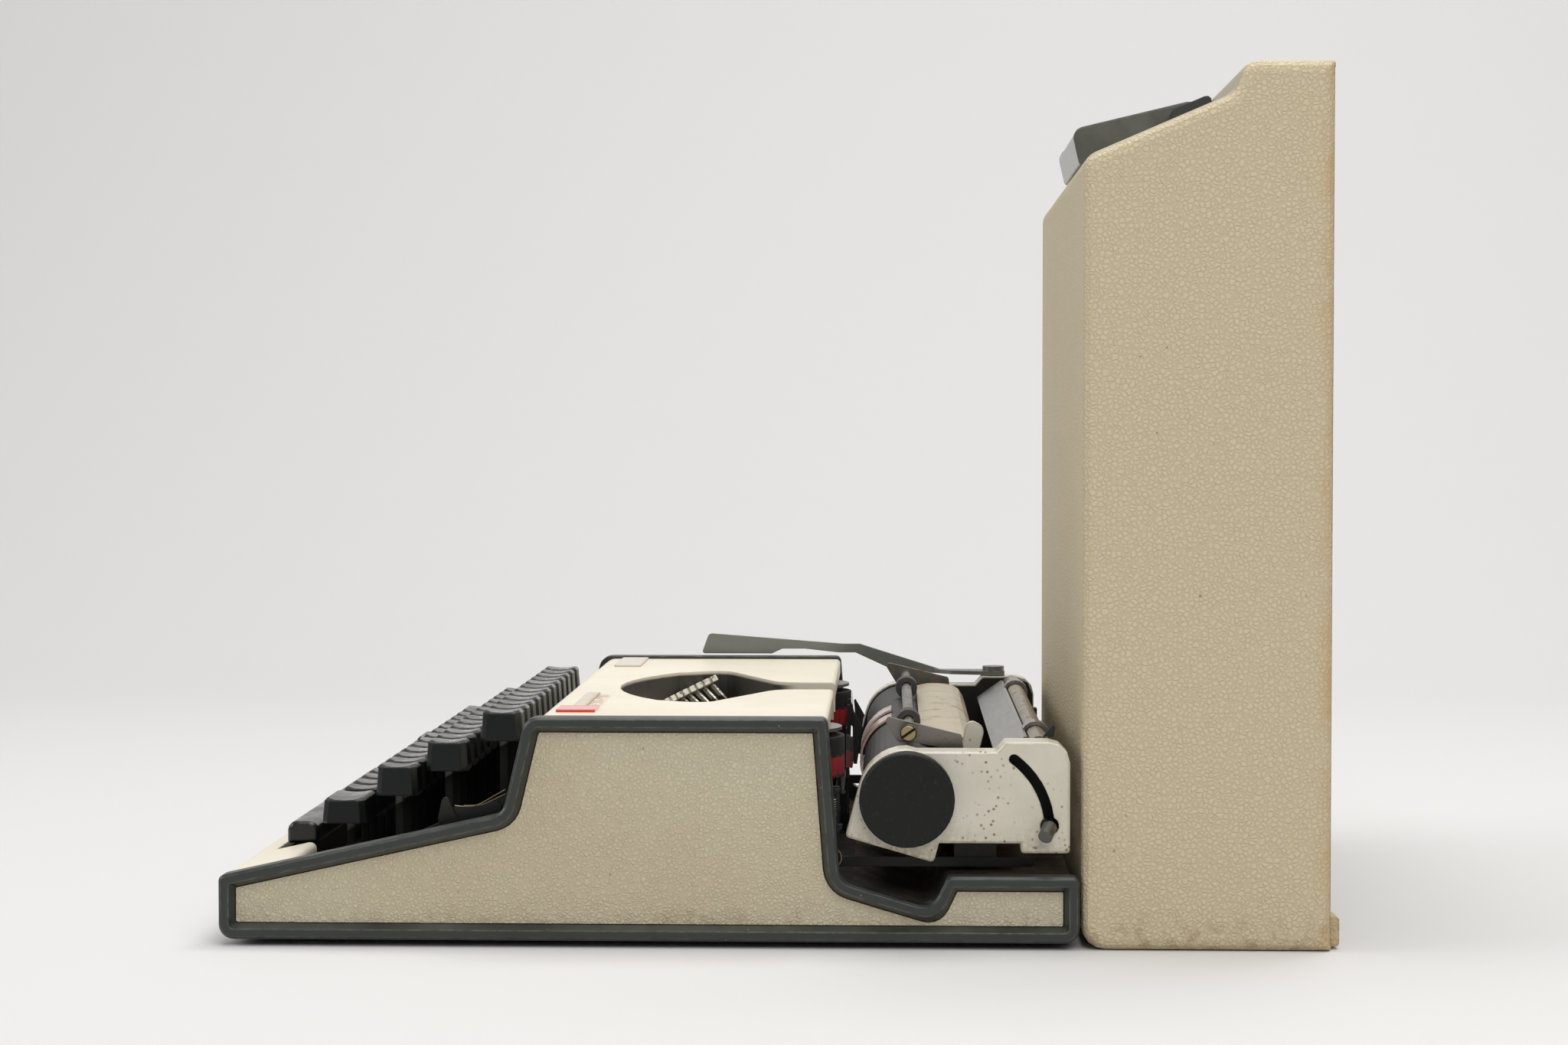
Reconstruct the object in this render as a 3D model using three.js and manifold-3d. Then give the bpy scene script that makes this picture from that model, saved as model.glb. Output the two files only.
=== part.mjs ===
// A portable typewriter with its case lid. The lid stands on its rear edge behind the machine.
// Lengths are in millimetres, X to the typist's right, Y to the rear, Z up.
import * as THREE from "three";
import { mergeVertices } from "three/addons/utils/BufferGeometryUtils.js";
import Module from "manifold-3d";

const wasm = await Module();
wasm.setup();

// Driving dimensions of the machine
const bodyLength = 320;
const bodyWidth = 312;
const trimTop = 85.8;
const trimBottom = 2.6;
const coverTop = 84.5;
const deckHeight = 27.2;
const platenInset = 63.8;
const platenZ = 56.2;
const platenRadius = 17;
const carriageWidth = 308;
const carriageInset = 3.6;
const carriageTop = 77.2;
const wellGap = 29.4;
const lidLength = 327.4;
const lidDepth = 92;
const lidGap = 0.7;

// Clearances shared by every fit
const fit = 0.3;
const overrun = 1;

const bodyHalf = bodyWidth / 2;
const carriageHalf = carriageWidth / 2;
const lidFront = bodyLength + lidGap;
const platenY = bodyLength - platenInset;
const carriageRear = bodyLength - carriageInset;
const wellFront = platenY - wellGap;

// Shape helpers

function roundLoop(corners, steps = 4) {
  const loop = [];
  corners.forEach(([a, b, radius = 0], i) => {
    const here = new THREE.Vector2(a, b);
    const back = new THREE.Vector2(...corners.at(i - 1).slice(0, 2)).sub(here);
    const ahead = new THREE.Vector2(...corners[(i + 1) % corners.length].slice(0, 2)).sub(here);
    if (!radius) {
      loop.push([a, b]);
      return;
    }
    const room = Math.min(back.length(), ahead.length()) / 2;
    const u = back.normalize();
    const v = ahead.normalize();
    const half = Math.acos(THREE.MathUtils.clamp(u.dot(v), -1, 1)) / 2;
    const reach = Math.min(radius / Math.tan(half), room * nearlyAllShare);
    const fitted = reach * Math.tan(half);
    const middle = u.clone().add(v).normalize().multiplyScalar(fitted / Math.sin(half));
    const start = u.clone().multiplyScalar(reach).sub(middle);
    const end = v.clone().multiplyScalar(reach).sub(middle);
    const turn = Math.atan2(start.cross(end), start.dot(end));
    for (let k = 0; k <= steps; k += 1) {
      const spoke = start.clone().rotateAround(new THREE.Vector2(), (turn * k) / steps);
      loop.push([a + middle.x + spoke.x, b + middle.y + spoke.y]);
    }
  });
  return loop;
}

const nearlyAllShare = 0.96;

// Moves every edge of a counter-clockwise outline inwards, and keeps its rounded corners rounded.
function inset(corners, distance) {
  const count = corners.length;
  return corners.map(([a, b, radius = 0], i) => {
    const [pa, pb] = corners[(i + count - 1) % count];
    const [na, nb] = corners[(i + 1) % count];
    const u = new THREE.Vector2(a - pa, b - pb).normalize();
    const v = new THREE.Vector2(na - a, nb - b).normalize();
    const bend = u.cross(v);
    const shift = new THREE.Vector2(-u.y - v.y, u.x + v.x);
    shift.multiplyScalar(distance / (1 + u.dot(v)));
    const corner = radius ? Math.max(radius - Math.sign(bend) * distance, radius * sharpShare) : 0;
    return [a + shift.x, b + shift.y, corner];
  });
}

const sharpShare = 0.12;

const alongX = (a, b, t) => [t, a, b];
const alongY = (a, b, t) => [a, t, b];
const alongZ = (a, b, t) => [a, b, t];

// Cuts a counter-clockwise loop into triangles that use every one of its points.
function ears(loop) {
  const area = (p, q, r) => (q[0] - p[0]) * (r[1] - p[1]) - (q[1] - p[1]) * (r[0] - p[0]);
  const left = loop.map((_, i) => i);
  const triangles = [];
  while (left.length > 3) {
    const corner = left.findIndex((here, i) => {
      const before = left.at(i - 1);
      const after = left[(i + 1) % left.length];
      const [p, q, r] = [loop[before], loop[here], loop[after]];
      if (area(p, q, r) <= flatShare * p.concat(q).reduce((sum, v) => sum + Math.abs(v), 0)) return false;
      return left.every((other) => {
        if (other === before || other === here || other === after) return true;
        const o = loop[other];
        return area(p, q, o) < 0 || area(q, r, o) < 0 || area(r, p, o) < 0;
      });
    });
    const at = corner < 0 ? 0 : corner;
    triangles.push([left.at(at - 1), left[at], left[(at + 1) % left.length]]);
    left.splice(at, 1);
  }
  triangles.push(left);
  return triangles;
}

const flatShare = 1e-9;

// A closed solid through flat loops of equal point counts, the ends capped.
function loft(layers, place) {
  const flat = (loop) => loop.map(([a, b]) => new THREE.Vector2(a, b));
  const clockwise = THREE.ShapeUtils.area(flat(layers[0].loop)) < 0;
  const loops = layers.map(({ loop }) => (clockwise ? loop.slice().reverse() : loop));
  const count = loops[0].length;
  const points = loops.flatMap((loop, i) => loop.map(([a, b]) => place(a, b, layers[i].at)));
  const faces = [];
  for (let i = 0; i + 1 < layers.length; i += 1) {
    for (let k = 0; k < count; k += 1) {
      const p = i * count + k;
      const q = i * count + ((k + 1) % count);
      faces.push([p, q, q + count], [p, q + count, p + count]);
    }
  }
  const last = (layers.length - 1) * count;
  ears(loops[0]).forEach(([p, q, r]) => faces.push([p, r, q]));
  ears(loops.at(-1)).forEach(([p, q, r]) => faces.push([last + p, last + q, last + r]));
  const geometry = new THREE.BufferGeometry();
  geometry.setAttribute("position", new THREE.Float32BufferAttribute(points.flat(), 3));
  geometry.setIndex(faces.flat());
  return outward(geometry);
}

// Turns a closed mesh inside out if its volume comes out negative.
function outward(geometry) {
  const position = geometry.getAttribute("position");
  const index = geometry.getIndex();
  const [p, q, r] = [new THREE.Vector3(), new THREE.Vector3(), new THREE.Vector3()];
  let volume = 0;
  for (let i = 0; i < index.count; i += 3) {
    p.fromBufferAttribute(position, index.getX(i));
    q.fromBufferAttribute(position, index.getX(i + 1));
    r.fromBufferAttribute(position, index.getX(i + 2));
    volume += p.dot(q.cross(r));
  }
  if (volume < 0) {
    for (let i = 0; i < index.count; i += 3) {
      const keep = index.getX(i + 1);
      index.setX(i + 1, index.getX(i + 2));
      index.setX(i + 2, keep);
    }
  }
  return geometry;
}

function prism(corners, from, to, place, steps) {
  const loop = roundLoop(corners, steps);
  return loft([{ loop, at: from }, { loop, at: to }], place);
}

// A prism with its outline drawn in by the edge at both ends.
function easedPrism(corners, from, to, edge, place, steps) {
  const full = roundLoop(corners, steps);
  const small = roundLoop(inset(corners, edge), steps);
  return loft([
    { loop: small, at: from },
    { loop: full, at: from + edge },
    { loop: full, at: to - edge },
    { loop: small, at: to },
  ], place);
}

// A prism with its outline drawn in along a quarter round at both ends.
function roundedPrism(corners, from, to, radius, place, steps) {
  const turns = Array.from({ length: roundSteps + 1 }, (_, i) => (Math.PI / 2) * (i / roundSteps));
  const layer = (turn, at) => ({ loop: roundLoop(inset(corners, radius * (1 - Math.sin(turn))), steps), at });
  const start = turns.map((turn) => layer(turn, from + radius * (1 - Math.cos(turn))));
  const end = turns.map((turn) => layer(turn, to - radius * (1 - Math.cos(turn))));
  return loft([...start, ...end.reverse()], place);
}

const roundSteps = 3;

function rectangle(a0, a1, b0, b1, radius = 0) {
  return [[a0, b0, radius], [a1, b0, radius], [a1, b1, radius], [a0, b1, radius]];
}

function block(x0, x1, y0, y1, z0, z1) {
  return new THREE.BoxGeometry(x1 - x0, y1 - y0, z1 - z0)
    .translate((x0 + x1) / 2, (y0 + y1) / 2, (z0 + z1) / 2);
}

function rod(from, to, radius, sides = 12, endRadius = radius) {
  const start = new THREE.Vector3(...from);
  const end = new THREE.Vector3(...to);
  const way = end.clone().sub(start);
  const turn = new THREE.Quaternion().setFromUnitVectors(new THREE.Vector3(0, 1, 0), way.clone().normalize());
  const middle = start.add(end).divideScalar(2);
  return new THREE.CylinderGeometry(endRadius, radius, way.length(), sides)
    .applyQuaternion(turn).translate(...middle.toArray());
}

// A solid of revolution about the X axis: profile points are [x, radius].
function turned(profile, sides = 32, y = 0, z = 0) {
  const points = profile.map(([x, radius]) => new THREE.Vector2(radius, x));
  return new THREE.LatheGeometry(points, sides).rotateZ(-Math.PI / 2).translate(0, y, z);
}

function manifoldOf(geometry) {
  const bare = geometry.clone();
  bare.deleteAttribute("normal");
  bare.deleteAttribute("uv");
  const merged = mergeVertices(bare, weldGap);
  return new wasm.Manifold(new wasm.Mesh({
    numProp: 3,
    vertProperties: new Float32Array(merged.getAttribute("position").array),
    triVerts: new Uint32Array(merged.getIndex().array),
  }));
}

const weldGap = 0.0001;

function geometryOf(manifold) {
  const { vertProperties, triVerts, numProp } = manifold.getMesh();
  const geometry = new THREE.BufferGeometry();
  const positions = [];
  for (let i = 0; i < vertProperties.length; i += numProp) {
    positions.push(vertProperties[i], vertProperties[i + 1], vertProperties[i + 2]);
  }
  geometry.setAttribute("position", new THREE.Float32BufferAttribute(positions, 3));
  geometry.setIndex(Array.from(triVerts));
  return geometry;
}

function join(...shapes) {
  return geometryOf(shapes.map(manifoldOf).reduce((all, next) => all.add(next)));
}

function cut(shape, ...tools) {
  return geometryOf(tools.map(manifoldOf).reduce((left, tool) => left.subtract(tool), manifoldOf(shape)));
}

function mirrored(geometry) {
  return outward(geometry.index ? geometry.clone().scale(-1, 1, 1) : mergeVertices(geometry).scale(-1, 1, 1));
}

const machine = new THREE.Group();
const carriage = new THREE.Group();
const lid = new THREE.Group();

function add(parent, name, geometry, material) {
  const mesh = new THREE.Mesh(geometry, material);
  mesh.name = name;
  parent.add(mesh);
  return mesh;
}

const finish = (color, roughness, metalness) => (
  new THREE.MeshStandardMaterial({ color, roughness, metalness }));
const cream = finish(0xe6e0cc, 0.55, 0);
const grained = finish(0xc6bfa9, 0.7, 0);
const trimDark = finish(0x343937, 0.4, 0);
const keyDark = finish(0x272b2b, 0.25, 0);
const black = finish(0x161616, 0.6, 0.2);
const steel = finish(0x8f8d86, 0.35, 0.9);
const rubber = finish(0x2c2b2a, 0.8, 0);
const enamel = finish(0xd9d5c6, 0.45, 0);
const clearPink = finish(0xd8b7ad, 0.2, 0);
const ribbonInk = finish(0x7c1418, 0.9, 0);
const dust = finish(0x5a4a3a, 0.95, 0);

// Casing: side trims, grained side panels, bottom pan, rear deck, feet and front apron

const wellLean = 4.6;
const valleyInset = 9.2;
const deckInset = 15;
const side = {
  noseHeight: 26.2,
  rampEnd: 106.2,
  rampHeight: 49.7,
  shoulder: 114.8,
  wellBack: wellFront + wellLean,
  wellDrop: 25.3,
  valley: platenY + valleyInset,
  valleyHeight: 15.2,
  deckStart: platenY + deckInset,
  cornerRadius: 5.5,
  smallRadius: 2.5,
  bendRadius: 6,
  valleyRadius: 6.5,
};

function sideCorners() {
  return [
    [0, trimBottom, side.cornerRadius],
    [bodyLength, trimBottom, side.cornerRadius],
    [bodyLength, deckHeight, side.smallRadius],
    [side.deckStart, deckHeight, side.smallRadius],
    [side.valley, side.valleyHeight, side.valleyRadius],
    [side.wellBack, side.wellDrop, side.valleyRadius],
    [wellFront, trimTop, side.smallRadius],
    [side.shoulder, trimTop, side.bendRadius],
    [side.rampEnd, side.rampHeight, side.bendRadius],
    [0, side.noseHeight, side.smallRadius],
  ];
}

const trim = { depth: 8, face: 3.8, bevel: 1.9, recess: 3.5, edge: 0.9, steps: 5 };
const panel = { thickness: 3 };

function sideTrim() {
  const outline = sideCorners();
  const round = (corners) => roundLoop(corners, trim.steps);
  const inner = bodyHalf - trim.depth;
  const opening = inset(outline, trim.face);
  const throat = inset(outline, trim.face + trim.bevel);
  const frame = loft([
    { loop: round(outline), at: inner },
    { loop: round(outline), at: bodyHalf - trim.edge },
    { loop: round(inset(outline, trim.edge)), at: bodyHalf },
  ], alongX);
  const well = loft([
    { loop: round(throat), at: inner - overrun },
    { loop: round(throat), at: bodyHalf - trim.recess },
    { loop: round(opening), at: bodyHalf },
    { loop: round(opening), at: bodyHalf + overrun },
  ], alongX);
  return cut(frame, well);
}

function sidePanel() {
  const outline = inset(sideCorners(), trim.face + trim.bevel + fit);
  const outer = bodyHalf - trim.recess;
  return prism(outline, outer - panel.thickness, outer, alongX, trim.steps);
}

function addSides() {
  const trimShape = sideTrim();
  const panelShape = sidePanel();
  add(machine, "side_trim_right", trimShape, trimDark);
  add(machine, "side_trim_left", mirrored(trimShape), trimDark);
  add(machine, "side_panel_right", panelShape, grained);
  add(machine, "side_panel_left", mirrored(panelShape), grained);
}

const pan = { sheet: 2, floor: 3, frontHeight: 21, margin: 3 };
const innerHalf = bodyHalf - trim.depth - fit;
const deck = { sheet: 1.6, sink: 0.8, start: side.wellBack + wellLean };
const deckTop = deckHeight - deck.sink;

function bottomPan() {
  const { sheet, floor, margin } = pan;
  const rear = bodyLength - margin;
  const top = deckTop - deck.sheet;
  return prism([
    [margin, floor],
    [rear, floor],
    [rear, top],
    [rear - sheet, top],
    [rear - sheet, floor + sheet],
    [margin + sheet, floor + sheet],
    [margin + sheet, pan.frontHeight],
    [margin, pan.frontHeight],
  ], -innerHalf, innerHalf, alongX);
}

function rearDeck() {
  const slope = (side.wellDrop - side.valleyHeight) / (side.valley - side.wellBack);
  const startTop = side.valleyHeight + slope * (side.valley - deck.start) - deck.sink;
  const low = side.valleyHeight - deck.sink;
  return prism([
    [deck.start, startTop - deck.sheet],
    [side.valley, low - deck.sheet, side.valleyRadius],
    [side.deckStart + deck.sheet, deckTop - deck.sheet, side.smallRadius],
    [bodyLength - pan.margin, deckTop - deck.sheet],
    [bodyLength - pan.margin, deckTop],
    [side.deckStart, deckTop, side.smallRadius],
    [side.valley, low, side.valleyRadius],
    [deck.start, startTop],
  ], -innerHalf, innerHalf, alongX);
}

const foot = { radius: 9, taper: 1.5, inset: 26, sides: 20 };

function addFeet() {
  const places = [["front", foot.inset], ["rear", bodyLength - foot.inset]];
  places.forEach(([where, y]) => [["right", 1], ["left", -1]].forEach(([hand, sign]) => {
    const x = sign * (innerHalf - foot.inset);
    const shape = rod([x, y, 0], [x, y, pan.floor], foot.radius - foot.taper, foot.sides, foot.radius);
    add(machine, `foot_${where}_${hand}`, shape, rubber);
  }));
}

const apron = {
  front: 1.2, rear: 26, lip: 10.4, sheet: 2.4, notchGap: 5, notchFloor: 25.5, radius: 2.5, drop: 0.4,
};
const rampSlope = (side.rampHeight - side.noseHeight) / side.rampEnd;

function rampAt(y) {
  return side.noseHeight + rampSlope * y;
}

// The apron follows the ramp of the trims, and its middle is cut away behind the lip for the space bar.
function frontApron() {
  const { front, rear, sheet, drop, radius } = apron;
  const topFront = rampAt(front) - drop;
  const topRear = rampAt(rear) - drop;
  const skin = prism([
    [front, pan.frontHeight],
    [front + sheet, pan.frontHeight],
    [front + sheet, topFront - sheet, sheet / 2],
    [rear - sheet, topRear - sheet, sheet / 2],
    [rear - sheet, topRear - radius - sheet * 2],
    [rear, topRear - radius - sheet * 2],
    [rear, topRear, radius],
    [front, topFront, radius],
  ], -innerHalf, innerHalf, alongX);
  const half = bar.half + apron.notchGap;
  const notch = prism([
    [-half, apron.lip],
    [half, apron.lip],
    [half, rear + overrun],
    [-half, rear + overrun],
  ], apron.notchFloor - sheet * 3, topRear + overrun, alongZ);
  return cut(skin, notch);
}

function addCasing() {
  addSides();
  add(machine, "base_pan", bottomPan(), black);
  add(machine, "rear_deck", rearDeck(), dust);
  addFeet();
}

addCasing();

// Inner frame: two side plates, lever comb and the fulcrum bars that the key levers turn on

const plateInset = { side: 12.7, rear: 16, well: 4.2 };
const plate = {
  x: innerHalf - plateInset.side, thickness: 2, front: 62, low: 6, frontHeight: 36, step: 112, top: 58,
  rear: wellFront + plateInset.well, armLow: 28, armTop: 31.8, armEnd: bodyLength - plateInset.rear,
  radius: 1.6, shelfTop: 50,
};

// Each ribbon spool stands on a shelf of its frame plate.
const strikeGap = 1;
const strikeY = platenY - platenRadius - strikeGap;
const strikeZ = 58;
const spoolInset = 35;
const spoolBack = 29.2;
const spool = {
  x: plate.x - spoolInset, y: strikeY - spoolBack, packRadius: 23.4, bandLow: 61, bandWidth: 13,
  flange: 22.4, flangeSheet: 1.2, gap: 2.4, core: 5, nut: 3.2, nutHeight: 2, sides: 28, foot: 4.5,
  shelfInner: 12, shelfHalf: 13,
};

function framePlate(sign) {
  const outline = [
    [plate.front, plate.low, plate.radius],
    [plate.rear, plate.low, plate.radius],
    [plate.rear, plate.armLow],
    [plate.armEnd, plate.armLow, plate.radius],
    [plate.armEnd, plate.armTop, plate.radius],
    [plate.rear, plate.armTop],
    [plate.rear, plate.top, plate.radius],
    [plate.step, plate.top, plate.radius],
    [plate.front, plate.frontHeight, plate.radius],
  ];
  const [outer, inner] = [sign * plate.x, sign * (plate.x - plate.thickness)];
  const wall = prism(outline, Math.min(outer, inner), Math.max(outer, inner), alongX, 2);
  const shelfEnd = sign * (spool.x - spool.shelfInner);
  const shelf = block(
    Math.min(shelfEnd, outer), Math.max(shelfEnd, outer), spool.y - spool.shelfHalf,
    spool.y + spool.shelfHalf, plate.shelfTop - plate.thickness, plate.shelfTop);
  return join(wall, shelf);
}

// The keys share out the width between the trims. Every row is staggered by a share of the pitch.
const keyboardMargin = 5.2;
const placeCount = 15;
const keyPitch = (2 * (innerHalf - keyboardMargin)) / placeCount;
const keyGap = 4;
const key = {
  width: keyPitch - keyGap, depth: 16.2, height: 11.8, dish: 0.9, edge: 1.1, draft: 0.7, corner: 2.2,
};
const lever = { thickness: 1.4, height: 3, bar: 2.6, sides: 8 };
const rowNames = ["one", "two", "three", "four"];
const keyCounts = [10, 12, 12, 11];
const staggerShares = [0, 0.58, 0.32, -0.5];

// Each row has a centre line, a height of its key tops, and a turning bar.
const rowOne = { y: 43.2, top: 52.2, barY: 122, barZ: 17 };
const rowTwo = { y: 61.6, top: 64.2, barY: 135, barZ: 23 };
const rowThree = { y: 80, top: 73.1, barY: 148, barZ: 31.5 };
const rowFour = { y: 100.4, top: 84.1, barY: 161, barZ: 40 };
const rows = [rowOne, rowTwo, rowThree, rowFour].map((row, i) => ({
  ...row, count: keyCounts[i], firstX: (staggerShares[i] - (keyCounts[i] - 1) / 2) * keyPitch,
}));

// A key top: drawn in at the top, its upper face dished from front to rear.
function keyTop(x, y, top, width = key.width, depth = key.depth, height = key.height) {
  const { edge, draft, dish, corner } = key;
  const outline = (shrink) => {
    const [across, along] = [width / 2 - shrink, depth / 2 - shrink];
    return roundLoop(rectangle(x - across, x + across, y - along, y + along, corner), 1);
  };
  const body = loft([
    { loop: outline(0), at: top - height },
    { loop: outline(draft), at: top - edge },
    { loop: outline(draft + edge), at: top },
  ], alongZ);
  const reach = depth / 2 - draft - edge;
  const radius = (reach * reach + dish * dish) / (2 * dish);
  const centre = top + radius - dish;
  const points = Array.from({ length: 5 }, (_, i) => {
    const across = reach * (1 - i / 2);
    return [y + across, centre - Math.sqrt(radius * radius - across * across)];
  });
  points.push([y - reach, top + overrun], [y + reach, top + overrun]);
  const scoop = loft([{ loop: points, at: x - width }, { loop: points, at: x + width }], alongX);
  return cut(body, scoop);
}

// The lever under a key: a stem down from the key top and an arm back to the turning bar.
function leverUnder(x, row, y = row.y, keyBottom = row.top - key.height) {
  const half = lever.height / 2;
  const frontZ = row.barZ + (row.rise ?? 0);
  const outline = [
    [y - half, frontZ - half], [row.barY, row.barZ - half], [row.barY, row.barZ + half],
    [y + half, frontZ + half], [y + half, keyBottom + overrun], [y - half, keyBottom + overrun],
  ];
  return prism(outline, x - lever.thickness / 2, x + lever.thickness / 2, alongX);
}

function turningBar(row, from, to) {
  return rod([from, row.barY, row.barZ], [to, row.barY, row.barZ], lever.bar, lever.sides);
}

const barHalf = plate.x - plate.thickness - fit;

function keyRow(row, from = -barHalf, to = barHalf) {
  const shapes = Array.from({ length: row.count }, (_, i) => row.firstX + i * keyPitch).flatMap((x) => [
    keyTop(x, row.y, row.top),
    leverUnder(x, row),
  ]);
  return join(turningBar(row, from, to), ...shapes);
}

// Keys that work alone turn on short bars of their own, which run out to the frame plates.
const soloShares = {
  shift: 6.05, shiftWidth: 1.58, backspace: 5.5, marginRelease: -6.18, shiftLock: -6.22, lockWidth: 1.4,
};
const shift = {
  x: keyPitch * soloShares.shift, y: 42.4, top: rowOne.top, width: keyPitch * soloShares.shiftWidth,
  depth: 16.8, height: 9.6, barY: 112, barZ: 15.2, offset: 3,
};
const soloBar = { radius: 2.3, sides: 8 };
const backspace = {
  x: keyPitch * soloShares.backspace, y: rowFour.y, top: rowFour.top, barY: 150, barZ: 46.5,
};
const marginRelease = {
  x: keyPitch * soloShares.marginRelease, y: rowThree.y, top: rowThree.top, barY: 136, barZ: 38.5,
};
const shiftLock = {
  x: keyPitch * soloShares.shiftLock, y: rowTwo.y, top: rowTwo.top, width: keyPitch * soloShares.lockWidth,
  barY: 124, barZ: 30, offset: 5.5,
};

function soloKey(solo, x = solo.x, offset = solo.offset ?? 0) {
  const { width = key.width, depth = key.depth, height = key.height } = solo;
  const sign = Math.sign(x);
  const arm = x - sign * offset;
  const from = [arm - sign * lever.thickness, solo.barY, solo.barZ];
  const to = [sign * barHalf, solo.barY, solo.barZ];
  return join(
    keyTop(x, solo.y, solo.top, width, depth, height),
    leverUnder(arm, solo, solo.y, solo.top - height),
    rod(from, to, soloBar.radius, soloBar.sides),
  );
}

const barShares = { half: 4.84, arm: 3.79 };
const bar = {
  half: keyPitch * barShares.half, y: 19.6, depth: 12.2, top: 38.4, height: 8.6,
  armX: keyPitch * barShares.arm, barY: 88, barZ: 9.2, radius: 3.4, rise: 8,
};

// The space bar: one long rounded key on two arms that share a turning bar.
function spaceBar() {
  const { half, y, depth, top, height, radius } = bar;
  const cap = easedPrism([
    [y - depth / 2, top - height, key.edge],
    [y + depth / 2, top - height, key.edge],
    [y + depth / 2, top, radius],
    [y - depth / 2, top, radius],
  ], -half, half, key.edge, alongX, 3);
  const arms = [-1, 1].map((sign) => leverUnder(sign * bar.armX, bar, y, top - height));
  const turning = rod(
    [-barHalf, bar.barY, bar.barZ], [barHalf, bar.barY, bar.barZ], soloBar.radius, soloBar.sides);
  return join(cap, turning, ...arms);
}

// The comb that guides the levers: a plate on the pan floor with a slot for each lever of the front rows.
const comb = { y: 92, thickness: 1.6, top: 37, slot: 2.6, slotFloor: 8 };

function leverComb() {
  const low = pan.floor + pan.sheet;
  const sheet = block(-barHalf, barHalf, comb.y, comb.y + comb.thickness, low, comb.top);
  const places = rows.slice(0, -1).flatMap((row) => Array.from(
    { length: row.count }, (_, i) => row.firstX + i * keyPitch));
  const shiftArm = shift.x - shift.offset;
  places.push(marginRelease.x, shiftLock.x + shiftLock.offset, shiftArm, -shiftArm);
  const slots = places.map((x) => block(
    x - comb.slot / 2, x + comb.slot / 2, comb.y - overrun, comb.y + comb.thickness + overrun,
    comb.slotFloor, comb.top + overrun));
  return cut(sheet, ...slots);
}

function addKeyboard() {
  [["right", 1], ["left", -1]].forEach(([hand, sign]) => {
    add(machine, `frame_plate_${hand}`, framePlate(sign), black);
  });
  add(machine, "front_apron", frontApron(), cream);
  rows.forEach((row, i) => add(machine, `key_row_${rowNames[i]}`, keyRow(row), keyDark));
  add(machine, "space_bar", spaceBar(), keyDark);
  add(machine, "shift_key_right", soloKey(shift), keyDark);
  add(machine, "shift_key_left", soloKey(shift, -shift.x), keyDark);
  add(machine, "shift_lock_key", soloKey(shiftLock), keyDark);
  add(machine, "margin_release_key", soloKey(marginRelease), keyDark);
  add(machine, "backspace_key", soloKey(backspace), keyDark);
  add(machine, "lever_comb", leverComb(), black);
}

addKeyboard();

// Type basket: segment with its typebars, turned back about the point where the types strike the platen

const basket = {
  tiltDegrees: 22.84, pivotRadius: 56.65, slugRadius: 88.2, slugHeight: 46.9, bars: 35, spreadDegrees: 52,
  blockIn: 51, blockOut: 61, blockLow: -5, blockTop: 3, blockDegrees: 56, steps: 14, armHeight: 4,
};
const typebar = { thickness: 1, width: 3, slugLength: 10, slugThick: 2.6, slugWidth: 3, slot: 2 };
const typeBasket = new THREE.Group();
typeBasket.position.set(0, strikeY, strikeZ);
typeBasket.rotation.x = THREE.MathUtils.degToRad(basket.tiltDegrees);
machine.add(typeBasket);

// One typebar at rest, standing in the middle plane of the basket.
function typebarShape() {
  const way = new THREE.Vector2(basket.pivotRadius - basket.slugRadius, basket.slugHeight);
  const length = way.length();
  const u = way.clone().normalize();
  const side = new THREE.Vector2(-u.y, u.x);
  const at = (along, across) => [
    -basket.pivotRadius + u.x * along + side.x * across, u.y * along + side.y * across,
  ];
  const half = typebar.width / 2;
  const arm = prism([
    at(-half, -half), at(length, -half * slimShare), at(length, half * slimShare), at(-half, half),
  ], -typebar.thickness / 2, typebar.thickness / 2, alongX);
  const swing = slugTurn();
  const [cy, cz] = at(length, 0);
  const slug = new THREE.BoxGeometry(typebar.slugWidth, typebar.slugThick, typebar.slugLength)
    .rotateX(swing).translate(0, cy, cz);
  return join(arm, slug);
}

const slimShare = 0.7;

// The turn about X that takes the upright slug at the strike back to its rest.
function slugTurn() {
  const rest = Math.atan2(basket.slugHeight, basket.pivotRadius - basket.slugRadius);
  return rest - THREE.MathUtils.degToRad(basket.tiltDegrees);
}

// A ring sector about the strike axis, open towards the platen.
function arcBlock(inner, outer, low, top, spreadDegrees, steps) {
  const points = [];
  const half = THREE.MathUtils.degToRad(spreadDegrees);
  for (let i = 0; i <= steps; i += 1) {
    const angle = -half + (2 * half * i) / steps;
    points.push([outer * Math.sin(angle), -outer * Math.cos(angle)]);
  }
  for (let i = steps; i >= 0; i -= 1) {
    const angle = -half + (2 * half * i) / steps;
    points.push([inner * Math.sin(angle), -inner * Math.cos(angle)]);
  }
  return loft([{ loop: points, at: low }, { loop: points, at: top }], alongZ);
}

function crossArm(sign, x, y, z, height, reach = barHalf) {
  const [a, b] = [sign * x, sign * reach];
  return block(Math.min(a, b), Math.max(a, b), y - height, y + height, z - height, z);
}

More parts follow.
